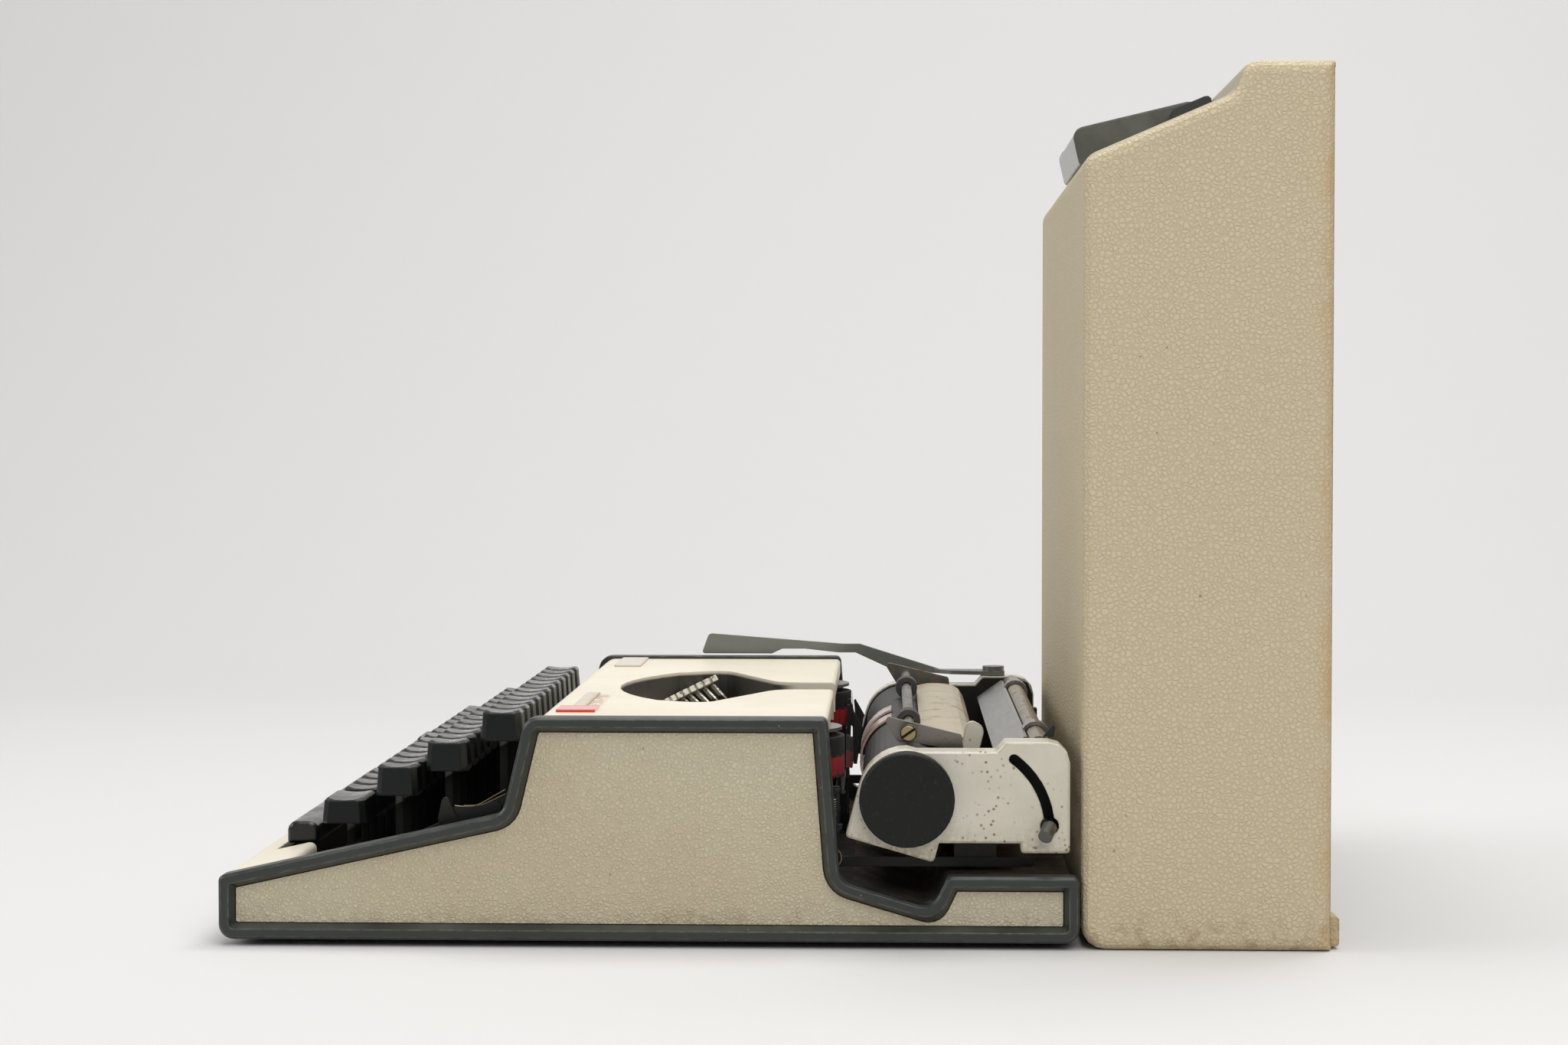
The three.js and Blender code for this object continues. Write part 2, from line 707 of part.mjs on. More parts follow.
function typeSegment() {
  const { blockIn, blockOut, blockLow, blockTop, blockDegrees, steps, bars, spreadDegrees } = basket;
  const ring = arcBlock(blockIn, blockOut, blockLow, blockTop, blockDegrees, steps);
  const bar = typebarShape();
  const middle = (bars - 1) / 2;
  const others = Array.from({ length: bars }, (_, i) => i - middle).filter((i) => i !== 0);
  const fan = others.map((i) => (
    bar.clone().rotateZ(THREE.MathUtils.degToRad((spreadDegrees * i) / middle))));
  const gap = block(
    -typebar.slot / 2, typebar.slot / 2, -blockOut - overrun, -blockIn + overrun, blockLow + overrun,
    blockTop + overrun);
  const end = THREE.MathUtils.degToRad(blockDegrees);
  const arms = [-1, 1].map((sign) => crossArm(
    sign, blockIn * Math.sin(end), -(blockIn + blockOut) / 2 * Math.cos(end), blockLow + basket.armHeight,
    basket.armHeight / 2));
  return join(cut(ring, gap), ...arms, ...fan);
}

const rest = { inner: 80, outer: 84.5, low: 27, top: 31.5, spreadDegrees: 54, armHeight: 3 };

function typebarRest() {
  const pad = arcBlock(rest.inner, rest.outer, rest.low, rest.top, rest.spreadDegrees, basket.steps);
  const end = THREE.MathUtils.degToRad(rest.spreadDegrees);
  const middle = (rest.inner + rest.outer) / 2;
  const arms = [-1, 1].map((sign) => crossArm(
    sign, rest.inner * Math.sin(end), -middle * Math.cos(end), rest.low + rest.armHeight,
    rest.armHeight / 2));
  return join(pad, ...arms);
}

add(typeBasket, "type_segment", typeSegment(), steel);
add(typeBasket, "typebar_middle", typebarShape(), steel);
add(typeBasket, "typebar_rest", typebarRest(), rubber);

// Ribbon: two spools, the band between them, the vibrator that lifts it and the guide it slides on

// Turned about its own upright axis: shaft on the shelf, lower flange, wound band, upper flange and nut.
function ribbonSpool() {
  const packTop = spool.bandLow + spool.bandWidth;
  const flangeLow = packTop + spool.gap;
  const flangeTop = flangeLow + spool.flangeSheet;
  const profile = [
    [0, plate.shelfTop + fit], [spool.foot, plate.shelfTop + fit], [spool.foot, spool.bandLow - spool.gap],
    [spool.packRadius, spool.bandLow - spool.gap], [spool.packRadius, packTop], [spool.core, packTop],
    [spool.core, flangeLow], [spool.flange, flangeLow],
    [spool.flange, flangeTop], [spool.nut, flangeTop], [spool.nut, flangeTop + spool.nutHeight],
    [0, flangeTop + spool.nutHeight],
  ].map(([radius, z]) => new THREE.Vector2(radius, z));
  return new THREE.LatheGeometry(profile, spool.sides).rotateX(Math.PI / 2);
}

const strikeRoom = { band: 3.8, guide: 8.8, vibrator: 6.6, start: 2 };
const band = {
  thickness: 0.5, drop: 9, middleHalf: 15, middleY: strikeY - strikeRoom.band,
  startX: spool.x - strikeRoom.start,
};

// The band leaves each pack at its rear and runs down to the strike point.
function ribbonBand() {
  const startY = spool.y + spool.packRadius + fit;
  const stations = [
    [-band.startX, startY, 0], [-band.middleHalf, band.middleY, band.drop],
    [band.middleHalf, band.middleY, band.drop], [band.startX, startY, 0],
  ];
  return loft(stations.map(([x, y, drop]) => ({
    at: x,
    loop: rectangle(
      y, y + band.thickness, spool.bandLow - drop, spool.bandLow + spool.bandWidth - drop),
  })), alongX);
}

const guide = {
  y: strikeY - strikeRoom.guide, thickness: 1.4, half: 9, top: 60, throat: 2, throatFloor: 50, barLow: 31,
  barHeight: 4, barDepth: 3.4, runnerHalf: 6, runnerTop: 40,
};
const vibrator = {
  half: 12, y: strikeY - strikeRoom.vibrator, thickness: 1.2, top: 68, low: 47, window: 8.6,
  windowFloor: 50, tab: 1.2,
};

function typeGuide() {
  const barTop = guide.barLow + guide.barHeight;
  const rail = block(-barHalf, barHalf, guide.y - guide.barDepth, guide.y, guide.barLow, barTop);
  const blade = block(-guide.half, guide.half, guide.y - guide.thickness, guide.y, guide.barLow, guide.top);
  const mouth = prism([
    [-guide.throat, guide.throatFloor], [guide.throat, guide.throatFloor],
    [guide.half - guide.thickness, guide.top + overrun], [guide.thickness - guide.half, guide.top + overrun],
  ], guide.y - guide.thickness - overrun, guide.y + overrun, alongY);
  const runner = block(
    -guide.runnerHalf, guide.runnerHalf, guide.y - guide.thickness, vibrator.y - fit, guide.barLow,
    guide.runnerTop);
  return join(rail, cut(blade, mouth), runner);
}

function ribbonVibrator() {
  const sheet = block(
    -vibrator.half, vibrator.half, vibrator.y, vibrator.y + vibrator.thickness, vibrator.low, vibrator.top);
  const window = block(
    -vibrator.window, vibrator.window, vibrator.y - overrun, vibrator.y + vibrator.thickness + overrun,
    vibrator.windowFloor, vibrator.top + overrun);
  const stem = block(
    -guide.throat, guide.throat, vibrator.y, vibrator.y + vibrator.thickness,
    guide.barLow, vibrator.low + vibrator.tab);
  return join(cut(sheet, window), stem);
}

const cardGuide = { inner: 8, outer: 28, gap: 0.9, sheet: 0.8, fromDegrees: 108, toDegrees: 200, steps: 10 };

// A clear curved guide hugging the front of the platen.
function cardGuideShape(sign) {
  const low = platenRadius + cardGuide.gap;
  const points = [];
  const turn = (i) => THREE.MathUtils.degToRad(
    cardGuide.fromDegrees + ((cardGuide.toDegrees - cardGuide.fromDegrees) * i) / cardGuide.steps);
  for (let i = 0; i <= cardGuide.steps; i += 1) {
    points.push([platenY + low * Math.cos(turn(i)), platenZ + low * Math.sin(turn(i))]);
  }
  for (let i = cardGuide.steps; i >= 0; i -= 1) {
    const high = low + cardGuide.sheet;
    points.push([platenY + high * Math.cos(turn(i)), platenZ + high * Math.sin(turn(i))]);
  }
  const [a, b] = [sign * cardGuide.inner, sign * cardGuide.outer];
  return loft([{ loop: points, at: Math.min(a, b) }, { loop: points, at: Math.max(a, b) }], alongX);
}

function addRibbon() {
  [["right", 1], ["left", -1]].forEach(([hand, sign]) => {
    add(machine, `ribbon_spool_${hand}`, ribbonSpool(), ribbonInk).position.set(sign * spool.x, spool.y, 0);
    add(machine, `card_guide_${hand}`, cardGuideShape(sign), clearPink);
  });
  add(machine, "ribbon", ribbonBand(), ribbonInk);
  add(machine, "type_guide", typeGuide(), black);
  add(machine, "ribbon_vibrator", ribbonVibrator(), steel);
}

addRibbon();

// Top cover: one pressed shell with the opening over the typebars and its neck out to the rear

const coverInset = { well: 0.2, arc: 24.8, mouth: 61.2, neck: 35.2 };
const cover = {
  sheet: 2, frontLow: 112.2, frontLowZ: 62, frontTop: 117.2, rear: wellFront - coverInset.well, lip: 6.4,
  collar: 12.5, frontRadius: 5, rearRadius: 1.8, arcCentre: strikeY + coverInset.arc, arcRadius: 126,
  mouthHalf: 80, mouthY: strikeY - coverInset.mouth, mouthRadius: 7, neckHalf: 17,
  neckY: strikeY - coverInset.neck, neckRadius: 12, rim: 1.6, arcSteps: 12,
};
const badge = { margin: 1.2, y: 131, width: 48, depth: 12, height: 0.8, radius: 1 };
const tab = { margin: 25.7, y: 130, width: 19, depth: 15, height: 1, radius: 1 };

function mouthCorners() {
  const { arcCentre, arcRadius, arcSteps, mouthHalf, mouthY, mouthRadius } = cover;
  const { neckHalf, neckY, neckRadius } = cover;
  const out = cover.rear + cover.sheet + overrun;
  const edge = Math.asin(mouthHalf / arcRadius);
  const arc = Array.from({ length: arcSteps - 1 }, (_, i) => {
    const angle = -edge + (2 * edge * (i + 1)) / arcSteps;
    return [arcRadius * Math.sin(angle), arcCentre - arcRadius * Math.cos(angle)];
  });
  return [
    [-mouthHalf, mouthY, mouthRadius], ...arc, [mouthHalf, mouthY, mouthRadius],
    [neckHalf, neckY, neckRadius], [neckHalf, out], [-neckHalf, out], [-neckHalf, neckY, neckRadius],
  ];
}

function topCover() {
  const { sheet, frontLow, frontLowZ, frontTop, rear, lip, frontRadius, rearRadius, rim } = cover;
  const low = coverTop - lip;
  const skin = prism([
    [frontLow, frontLowZ], [frontLow + sheet, frontLowZ],
    [frontTop + sheet, coverTop - sheet, frontRadius - sheet],
    [rear - sheet, coverTop - sheet], [rear - sheet, low], [rear, low], [rear, coverTop, rearRadius],
    [frontTop, coverTop, frontRadius],
  ], -innerHalf, innerHalf, alongX);
  const mouth = mouthCorners();
  const collarLow = coverTop - cover.collar;
  const collar = prism(inset(mouth, -rim), collarLow, coverTop - sheet / 2, alongZ, 3);
  const behind = block(
    -innerHalf, innerHalf, rear, rear + innerHalf, collarLow - overrun, coverTop + overrun);
  const hole = prism(mouth, collarLow - overrun, coverTop + overrun, alongZ, 3);
  const flanges = [-1, 1].map((sign) => {
    const [a, b] = [sign * innerHalf, sign * (innerHalf - sheet)];
    return block(Math.min(a, b), Math.max(a, b), frontTop + sheet, rear, low, coverTop - sheet / 2);
  });
  return cut(join(skin, cut(collar, behind), ...flanges), hole);
}

// A flat plate stuck on the cover near one of its ends.
function smallPlate(size, sign) {
  const { y, width, depth, radius, height } = size;
  const x = sign * (innerHalf - size.margin - width / 2);
  const corners = rectangle(x - width / 2, x + width / 2, y - depth / 2, y + depth / 2, radius);
  return prism(corners, coverTop, coverTop + height, alongZ, 2);
}

add(machine, "top_cover", topCover(), cream);
add(machine, "badge_plate", smallPlate(badge, -1), enamel);
add(machine, "red_tab", smallPlate(tab, 1), finish(0xd8392c, 0.25, 0));

// What the carriage runs on: a rail across the frame arms, and the spring drum that pulls the carriage

const railPlace = { front: 17.8, rear: 33.8 };
const rail = { front: platenY + railPlace.front, rear: platenY + railPlace.rear, height: 5 };
const drumInset = { side: 40, platen: 4.2 };
const drum = {
  x: drumInset.side - plate.x, y: platenY - drumInset.platen, radius: 13, low: 24.5, top: 30.8,
  shaft: 3, foot: 19.6, sides: 28,
};

function springDrum() {
  const profile = [
    [0, drum.foot], [drum.shaft, drum.foot], [drum.shaft, drum.low], [drum.radius, drum.low],
    [drum.radius, drum.top], [0, drum.top],
  ].map(([radius, z]) => new THREE.Vector2(radius, z));
  return new THREE.LatheGeometry(profile, drum.sides).rotateX(Math.PI / 2);
}

const railShape = block(-plate.x, plate.x, rail.front, rail.rear, plate.armTop, plate.armTop + rail.height);
add(machine, "carriage_rail", railShape, steel);
add(machine, "mainspring_drum", springDrum(), steel).position.set(drum.x, drum.y, 0);

// Carriage: every place is measured from the platen's axis

carriage.position.set(0, platenY, platenZ);
machine.add(carriage);

const cap = {
  wall: 1.6, edge: 0.8, arcGap: 1.2, rear: carriageRear - platenY, top: carriageTop - platenZ,
  cornerRadius: 8,
  frontY: -22.8, frontZ: -14.6, tabY: 9.9, tabZ: -24, tabEnd: 11.9, underside: -16.8, heel: 42, heelZ: -20.4,
  smallRadius: 1.4, stepY: 36.4, stepFoot: 33, flatTop: 17.2, lipEnd: 3.6, arcSteps: 7,
};
const endInset = 15.6;
const frameEnd = { inner: carriageHalf - endInset, sheet: 1.6, inset: 0.6, bore: 4.4 };
const slot = {
  y: 20.4, z: -11.6, radius: 32.3, fromDegrees: 2.5, toDegrees: 53.8, width: 3.8, keyhole: 3.5, steps: 9,
};
const capInner = frameEnd.inner + frameEnd.sheet + fit;

// The cap's front follows the platen, on the tangent from its lower front corner.
function capCorners() {
  const arc = platenRadius + cap.arcGap;
  const reach = Math.hypot(cap.frontY, cap.frontZ);
  const meet = Math.atan2(-cap.frontZ, -cap.frontY) + Math.asin(arc / reach) + Math.PI / 2;
  const bend = Array.from({ length: cap.arcSteps + 1 }, (_, i) => {
    const angle = Math.PI / 2 + ((meet - Math.PI / 2) * i) / cap.arcSteps;
    return [arc * Math.cos(angle), arc * Math.sin(angle)];
  });
  return [
    [cap.frontY, cap.frontZ, cap.smallRadius], [cap.tabY, cap.tabZ, cap.smallRadius],
    [cap.tabEnd, cap.underside], [cap.heel, cap.underside], [cap.heel, cap.heelZ, cap.smallRadius],
    [cap.rear, cap.heelZ, cap.smallRadius], [cap.rear, cap.top, cap.cornerRadius],
    [cap.stepY, cap.top, cap.smallRadius], [cap.stepFoot, cap.flatTop], [cap.lipEnd, cap.flatTop], ...bend,
  ];
}

function arcSlot(from, to) {
  const ring = [];
  const at = (radius, degrees) => {
    const angle = THREE.MathUtils.degToRad(degrees);
    return [slot.y + radius * Math.cos(angle), slot.z + radius * Math.sin(angle)];
  };
  const turn = (i) => slot.fromDegrees + ((slot.toDegrees - slot.fromDegrees) * i) / slot.steps;
  for (let i = 0; i <= slot.steps; i += 1) ring.push(at(slot.radius + slot.width / 2, turn(i)));
  for (let i = slot.steps; i >= 0; i -= 1) ring.push(at(slot.radius - slot.width / 2, turn(i)));
  const track = loft([{ loop: ring, at: from }, { loop: ring, at: to }], alongX);
  const [endY, endZ] = at(slot.radius, slot.toDegrees);
  const [startY, startZ] = at(slot.radius, slot.fromDegrees);
  return join(
    track,
    rod([from, endY, endZ], [to, endY, endZ], slot.width / 2, 12),
    rod([from, startY, startZ], [to, startY, startZ], slot.keyhole, 14),
  );
}

function endCap() {
  const outline = capCorners();
  const round = (corners) => roundLoop(corners, 3);
  const shell = loft([
    { loop: round(outline), at: capInner },
    { loop: round(outline), at: carriageHalf - cap.edge },
    { loop: round(inset(outline, cap.edge)), at: carriageHalf },
  ], alongX);
  const hollow = loft([
    { loop: round(inset(outline, cap.wall)), at: capInner - overrun },
    { loop: round(inset(outline, cap.wall)), at: carriageHalf - cap.wall },
  ], alongX);
  const bore = rod([capInner, 0, 0], [carriageHalf + overrun, 0, 0], frameEnd.bore, 20);
  return cut(shell, hollow, bore, arcSlot(carriageHalf - cap.wall - overrun, carriageHalf + overrun));
}

const bed = { front: 13.8, rear: 39.8, low: -18.9, top: -15.4 };

function carriageFrame() {
  const outline = inset(capCorners(), frameEnd.inset);
  const outer = frameEnd.inner + frameEnd.sheet;
  const wall = cut(
    prism(outline, frameEnd.inner, outer, alongX, 2),
    rod([frameEnd.inner - overrun, 0, 0], [outer + overrun, 0, 0], frameEnd.bore, 20));
  const floor = block(-outer, outer, bed.front, bed.rear, bed.low, bed.top);
  return join(wall, mirrored(wall), floor);
}

const shaft = { radius: 4, sides: 20 };
const ratchetGap = 2;
const ratchet = { radius: 12, inner: frameEnd.inner + frameEnd.sheet + ratchetGap, width: 1.8 };
const knob = { radius: 17.6, width: 7.7, edge: 0.7, sides: 40 };
const platenHalf = frameEnd.inner - fit;
const knobInner = carriageHalf + fit;

function platen() {
  return turned([
    [-knobInner, 0], [-knobInner, shaft.radius], [-ratchet.inner - ratchet.width, shaft.radius],
    [-ratchet.inner - ratchet.width, ratchet.radius], [-ratchet.inner, ratchet.radius],
    [-ratchet.inner, shaft.radius], [-platenHalf, shaft.radius], [-platenHalf, platenRadius],
    [platenHalf, platenRadius], [platenHalf, shaft.radius], [knobInner, shaft.radius], [knobInner, 0],
  ], 40);
}

function platenKnob() {
  const outer = knobInner + knob.width;
  return turned([
    [knobInner, 0], [knobInner, knob.radius - knob.edge], [knobInner + knob.edge, knob.radius],
    [outer - knob.edge, knob.radius], [outer, knob.radius - knob.edge], [outer, 0],
  ], knob.sides);
}

const feedRoller = { y: 2, z: -20.7, radius: 3.4, half: 62, pin: 1.3, sides: 16 };

function feedRollerShape() {
  return turned([
    [-platenHalf, 0], [-platenHalf, feedRoller.pin], [-feedRoller.half, feedRoller.pin],
    [-feedRoller.half, feedRoller.radius], [feedRoller.half, feedRoller.radius],
    [feedRoller.half, feedRoller.pin], [platenHalf, feedRoller.pin], [platenHalf, 0],
  ], feedRoller.sides, feedRoller.y, feedRoller.z);
}

// The sheet reaches almost to the release lever on its right.
const tableGap = 5;
const releaseInset = 13.4;
const release = {
  x: frameEnd.inner - releaseInset, thickness: 4, hubY: 21.5, hubZ: 2, hub: 3, pin: 1.6, footWidth: 6.6,
  footY: 18.7, footZ: 6.5, topY: 29.6, topZ: 23.4, tipY: 23, tipZ: 27.2, tipRadius: 3.3,
};

const table = {
  half: release.x - release.thickness / 2 - tableGap, sheet: 1, front: 5.6, frontZ: 17.6, crest: 13,
  crestZ: 18.8, back: 24, backZ: 16.6, heel: 28.6, heelZ: 4, legX: 100, legHalf: 5,
};

// A bowed sheet behind the platen on two legs that stand on the carriage bed.
function paperTable() {
  const curve = new THREE.SplineCurve([
    [table.front, table.frontZ], [table.crest, table.crestZ], [table.back, table.backZ],
    [table.heel, table.heelZ],
  ].map((p) => new THREE.Vector2(...p)));
  const spine = curve.getPoints(12);
  const upper = spine.map((p, i) => {
    const way = curve.getTangent(i / (spine.length - 1));
    return [p.x - way.y * table.sheet, p.y + way.x * table.sheet];
  });
  const loop = [...spine.map((p) => [p.x, p.y]), ...upper.reverse()];
  const sheet = loft([{ loop, at: -table.half }, { loop, at: table.half }], alongX);
  const legs = [-table.legX, table.legX].map((x) => block(
    x - table.legHalf, x + table.legHalf, table.heel - table.sheet, table.heel, bed.top,
    table.heelZ + table.sheet));
  return join(sheet, ...legs);
}

const bailInset = 7.4;
const bail = {
  rodY: 0.9, rodZ: 22.2, rod: 2.2, arm: frameEnd.inner - bailInset, sheet: 1.4, pivotY: 19.5, pivotZ: 10,
  pin: 2, screw: 2.9, screwHead: 1.2, roller: 4.7, rollerHalf: 6, rollerBore: 2.5, rightX: 85, leftX: -69,
};

// The arm runs from its pivot forward over the rod and ends in a small hook in front of it.
const bailEdge = {
  chin: 4.3, chinDrop: 3.6, throat: 2.6, throatDrop: 4, neck: 5.5, neckRise: 6.2, eye: 3, eyeDrop: 2.4,
  back: 1.1, backRise: 11.4, hook: 8.3, hookRise: 6, tip: 8.8, tipRise: 3.8, round: 1.5, small: 1,
};

function bailArm(sign) {
  const { rodY, rodZ, pivotY, pivotZ } = bail;
  const edge = bailEdge;
  const shape = prism([
    [rodY - edge.chin, rodZ - edge.chinDrop, edge.round],
    [rodY + edge.throat, rodZ - edge.throatDrop, edge.round],
    [pivotY - edge.neck, pivotZ + edge.neckRise],
    [pivotY - edge.eye, pivotZ - edge.eyeDrop, edge.small],
    [pivotY + edge.eye, pivotZ - edge.eyeDrop, edge.small],
    [pivotY + edge.back, pivotZ + edge.backRise, edge.small],
    [rodY - edge.hook, rodZ + edge.hookRise, edge.round],
    [rodY - edge.tip, rodZ + edge.tipRise],
  ], bail.arm, bail.arm + bail.sheet, alongX, 2);
  return sign > 0 ? shape : mirrored(shape);
}

function paperBail() {
  const outer = bail.arm + bail.sheet;
  const head = outer + bail.screwHead;
  const { pivotY, pivotZ, rodY, rodZ } = bail;
  const sides = [-1, 1].flatMap((sign) => [
    bailArm(sign),
    rod([sign * bail.arm, pivotY, pivotZ], [sign * platenHalf, pivotY, pivotZ], bail.pin, 12),
    rod([sign * outer, rodY, rodZ], [sign * head, rodY, rodZ], bail.screw, 14),
  ]);
  return join(rod([-outer, rodY, rodZ], [outer, rodY, rodZ], bail.rod, 12), ...sides);
}

function bailRoller(x) {
  return turned([
    [x - bail.rollerHalf, bail.rollerBore], [x - bail.rollerHalf, bail.roller],
    [x + bail.rollerHalf, bail.roller], [x + bail.rollerHalf, bail.rollerBore],
    [x - bail.rollerHalf, bail.rollerBore],
  ], 24, bail.rodY, bail.rodZ);
}

function releaseLever() {
  const [x0, x1] = [release.x - release.thickness / 2, release.x + release.thickness / 2];
  const blade = prism([
    [release.hubY - release.hub, release.hubZ], [release.hubY + release.hub, release.hubZ],
    [release.footY + release.footWidth, release.footZ], [release.topY, release.topZ, release.tipRadius],
    [release.tipY, release.tipZ, release.tipRadius], [release.footY, release.footZ],
  ], x0, x1, alongX, 5);
  const { hubY, hubZ } = release;
  const hub = rod([x0, hubY, hubZ], [x1, hubY, hubZ], release.hub, 14);
  const pin = rod([x0, hubY, hubZ], [platenHalf, hubY, hubZ], release.pin, 10);
  return join(blade, hub, pin);
}

const tube = { y: 49.8, z: 17.8, radius: 4, sides: 18 };
const flapInset = 10.4;
const flap = {
  half: frameEnd.inner - flapInset, sheet: 1.1, frontY: 33.6, frontZ: 12.6, rearY: 44.4, rearZ: 20.2,
  knuckle: 1.3, knuckleX: 96, knuckleHalf: 5,
};

// The paper support: a flap that folds up about the rear tube on two knuckles.
function paperSupport() {
  const sheet = prism([
    [flap.frontY, flap.frontZ], [flap.frontY + flap.sheet, flap.frontZ - flap.sheet],
    [tube.y - tube.radius - flap.knuckle, tube.z], [flap.rearY + flap.sheet, flap.rearZ - flap.sheet],
    [flap.rearY + flap.sheet, flap.rearZ], [flap.rearY, flap.rearZ],
  ], -flap.half, flap.half, alongX);
  const knuckles = [-1, 1].map((sign) => turned([
    [sign * flap.knuckleX - flap.knuckleHalf, tube.radius + fit],
    [sign * flap.knuckleX - flap.knuckleHalf, tube.radius + fit + flap.knuckle],
    [sign * flap.knuckleX + flap.knuckleHalf, tube.radius + fit + flap.knuckle],
    [sign * flap.knuckleX + flap.knuckleHalf, tube.radius + fit],
    [sign * flap.knuckleX - flap.knuckleHalf, tube.radius + fit],
  ], tube.sides, tube.y, tube.z));
  return join(sheet, ...knuckles);
}

const stud = {
  neck: 1.6, head: 2.7, out: 7, stand: 1.5, arm: 2.4, armHeight: 2.8, lean: 2, drop: 3.2, pivot: 1.6,
};

// The crank inside the right cap whose stud stands out through the arc slot and raises the flap.
function supportStud() {
  const angle = THREE.MathUtils.degToRad(slot.fromDegrees);
  const [y, z] = [slot.y + slot.radius * Math.cos(angle), slot.z + slot.radius * Math.sin(angle)];
  const inner = capInner + stud.arm;
  const outer = carriageHalf + fit;
  const { neck, armHeight } = stud;
  const arm = prism([
    [slot.y - armHeight, slot.z - armHeight, neck], [y + neck, z - neck, neck / 2],
    [y + neck, z + neck, neck / 2], [slot.y - armHeight, slot.z + armHeight, neck],
  ], inner, inner + stud.arm, alongX, 3);
  return join(
    arm,
    rod([capInner, slot.y, slot.z], [inner + stud.arm, slot.y, slot.z], stud.pivot, 12),
    rod([inner, y, z], [outer + stud.stand + neck, y, z], neck, 12),
    rod([outer + stud.stand, y, z], [outer + stud.out, y - stud.lean, z - stud.drop], stud.head, 16),
  );
}

const rack = { y: 56, z: 2, half: 1.6, stopX: 92, stopHalf: 4, stopRise: 7, stopTab: 3.4 };

function marginStop(sign) {
  const [x0, x1] = [sign * rack.stopX - rack.stopHalf, sign * rack.stopX + rack.stopHalf];
  const top = rack.z + rack.half + fit;
  const saddle = block(x0, x1, rack.y - rack.half - fit, rack.y + rack.stopTab, top, top + rack.half);
  const thumb = block(
    x0, x1, rack.y + rack.half + fit, rack.y + rack.stopTab, rack.z - rack.half, top + rack.stopRise);
  return join(saddle, thumb);
}

const crankInset = { out: 3, tab: 11, hub: 6 };
const crank = {
  x: -carriageHalf - crankInset.out, sheet: 2, tip: -95, tipTop: -91.6, lowTip: 30.3, high: 39.8,
  bendY: -28.6, bendHigh: 35, bendLow: 30.9, kneeY: -22.6, slopeEnd: 17, rootLow: 21.4, rootStart: -2,
  tabEnd: 47, notchStart: -62, notchFront: -57, notchRear: -46, notchTop: 32.6,
  tabInner: crankInset.tab - carriageHalf, tabSheet: 1.8, tabFront: 12,
  hubX: crankInset.hub - carriageHalf, hubY: 41.8, hub: 5, hubHeight: 4, handleRadius: 2,
};

// The return lever: an upright paddle above the left trim, cranked down to a tab that turns on the left cap.
function returnLever() {
  const { kneeY, bendY, rootLow, tabSheet, tabFront, hubX, hubY, handleRadius } = crank;
  const [x0, x1] = [crank.x - crank.sheet / 2, crank.x + crank.sheet / 2];
  const rootTop = rootLow + tabSheet;
  const blade = prism([
    [crank.tip, crank.lowTip, handleRadius / 2], [crank.notchStart, crank.lowTip],
    [crank.notchFront, crank.notchTop, handleRadius], [crank.notchRear, crank.notchTop, handleRadius],
    [bendY - handleRadius, crank.bendLow], [kneeY, crank.bendLow],
    [crank.rootStart, rootLow], [tabFront + tabSheet, rootLow], [tabFront + tabSheet, rootTop],
    [crank.slopeEnd, rootTop], [kneeY + handleRadius, crank.bendHigh], [bendY, crank.bendHigh],
    [crank.tipTop, crank.high, handleRadius],
  ], x0, x1, alongX, 2);
  const root = prism([
    [x0, tabFront], [hubX, tabFront + crank.hub * 2, crank.hub], [crank.tabInner, hubY, crank.hub],
    [crank.tabInner, crank.tabEnd, crank.hub], [x0, crank.tabEnd, crank.hub],
  ], rootLow, rootTop, alongZ, 3);
  const hub = rod([hubX, hubY, rootLow], [hubX, hubY, rootLow + crank.hubHeight], crank.hub, 18);
  return join(blade, root, hub);
}

function addCarriage() {
  const capShape = endCap();
  const knobShape = platenKnob();
  add(carriage, "carriage_frame", carriageFrame(), black);
  add(carriage, "end_cap_right", capShape, enamel);
  add(carriage, "end_cap_left", mirrored(capShape), enamel);
  add(carriage, "platen", platen(), rubber);
  add(carriage, "platen_knob_right", knobShape, black);
  add(carriage, "platen_knob_left", mirrored(knobShape), black);
  add(carriage, "feed_roller", feedRollerShape(), rubber);
  add(carriage, "paper_table", paperTable(), cream);
  add(carriage, "paper_bail", paperBail(), steel);
  add(carriage, "bail_roller_right", bailRoller(bail.rightX), rubber);
  add(carriage, "bail_roller_left", bailRoller(bail.leftX), rubber);
  add(carriage, "paper_release_lever", releaseLever(), enamel);
  const tubeShape = rod([-platenHalf, tube.y, tube.z], [platenHalf, tube.y, tube.z], tube.radius, tube.sides);
  add(carriage, "rear_tube", tubeShape, steel);
  add(carriage, "paper_support", paperSupport(), steel);
  add(carriage, "support_stud", supportStud(), steel);
  const rackShape = block(
    -platenHalf, platenHalf, rack.y - rack.half, rack.y + rack.half, rack.z - rack.half, rack.z + rack.half);
  add(carriage, "margin_rack", rackShape, steel);
  add(carriage, "margin_stop_right", marginStop(1), black);
  add(carriage, "margin_stop_left", marginStop(-1), black);
  add(carriage, "return_lever", returnLever(), steel);
}

addCarriage();

// Case lid: a deep shell that stands on its rear edge, its open side to the rear

lid.position.set(0, lidFront, 0);
machine.add(lid);

const slopeDrop = { foot: 35, top: 11.8 };
const shell = {
  wall: 2.4, footRadius: 9, rimRadius: 1.2, slopeFoot: lidLength - slopeDrop.foot, slopeEnd: 54.5,
  slopeTop: lidLength - slopeDrop.top, stepTop: 59,
  bendRadius: 7, sideEdge: 4.5, lugInset: 20, lugWidth: 13, lugLow: 1.2, lugTop: 12, lugOut: 3.4,
};

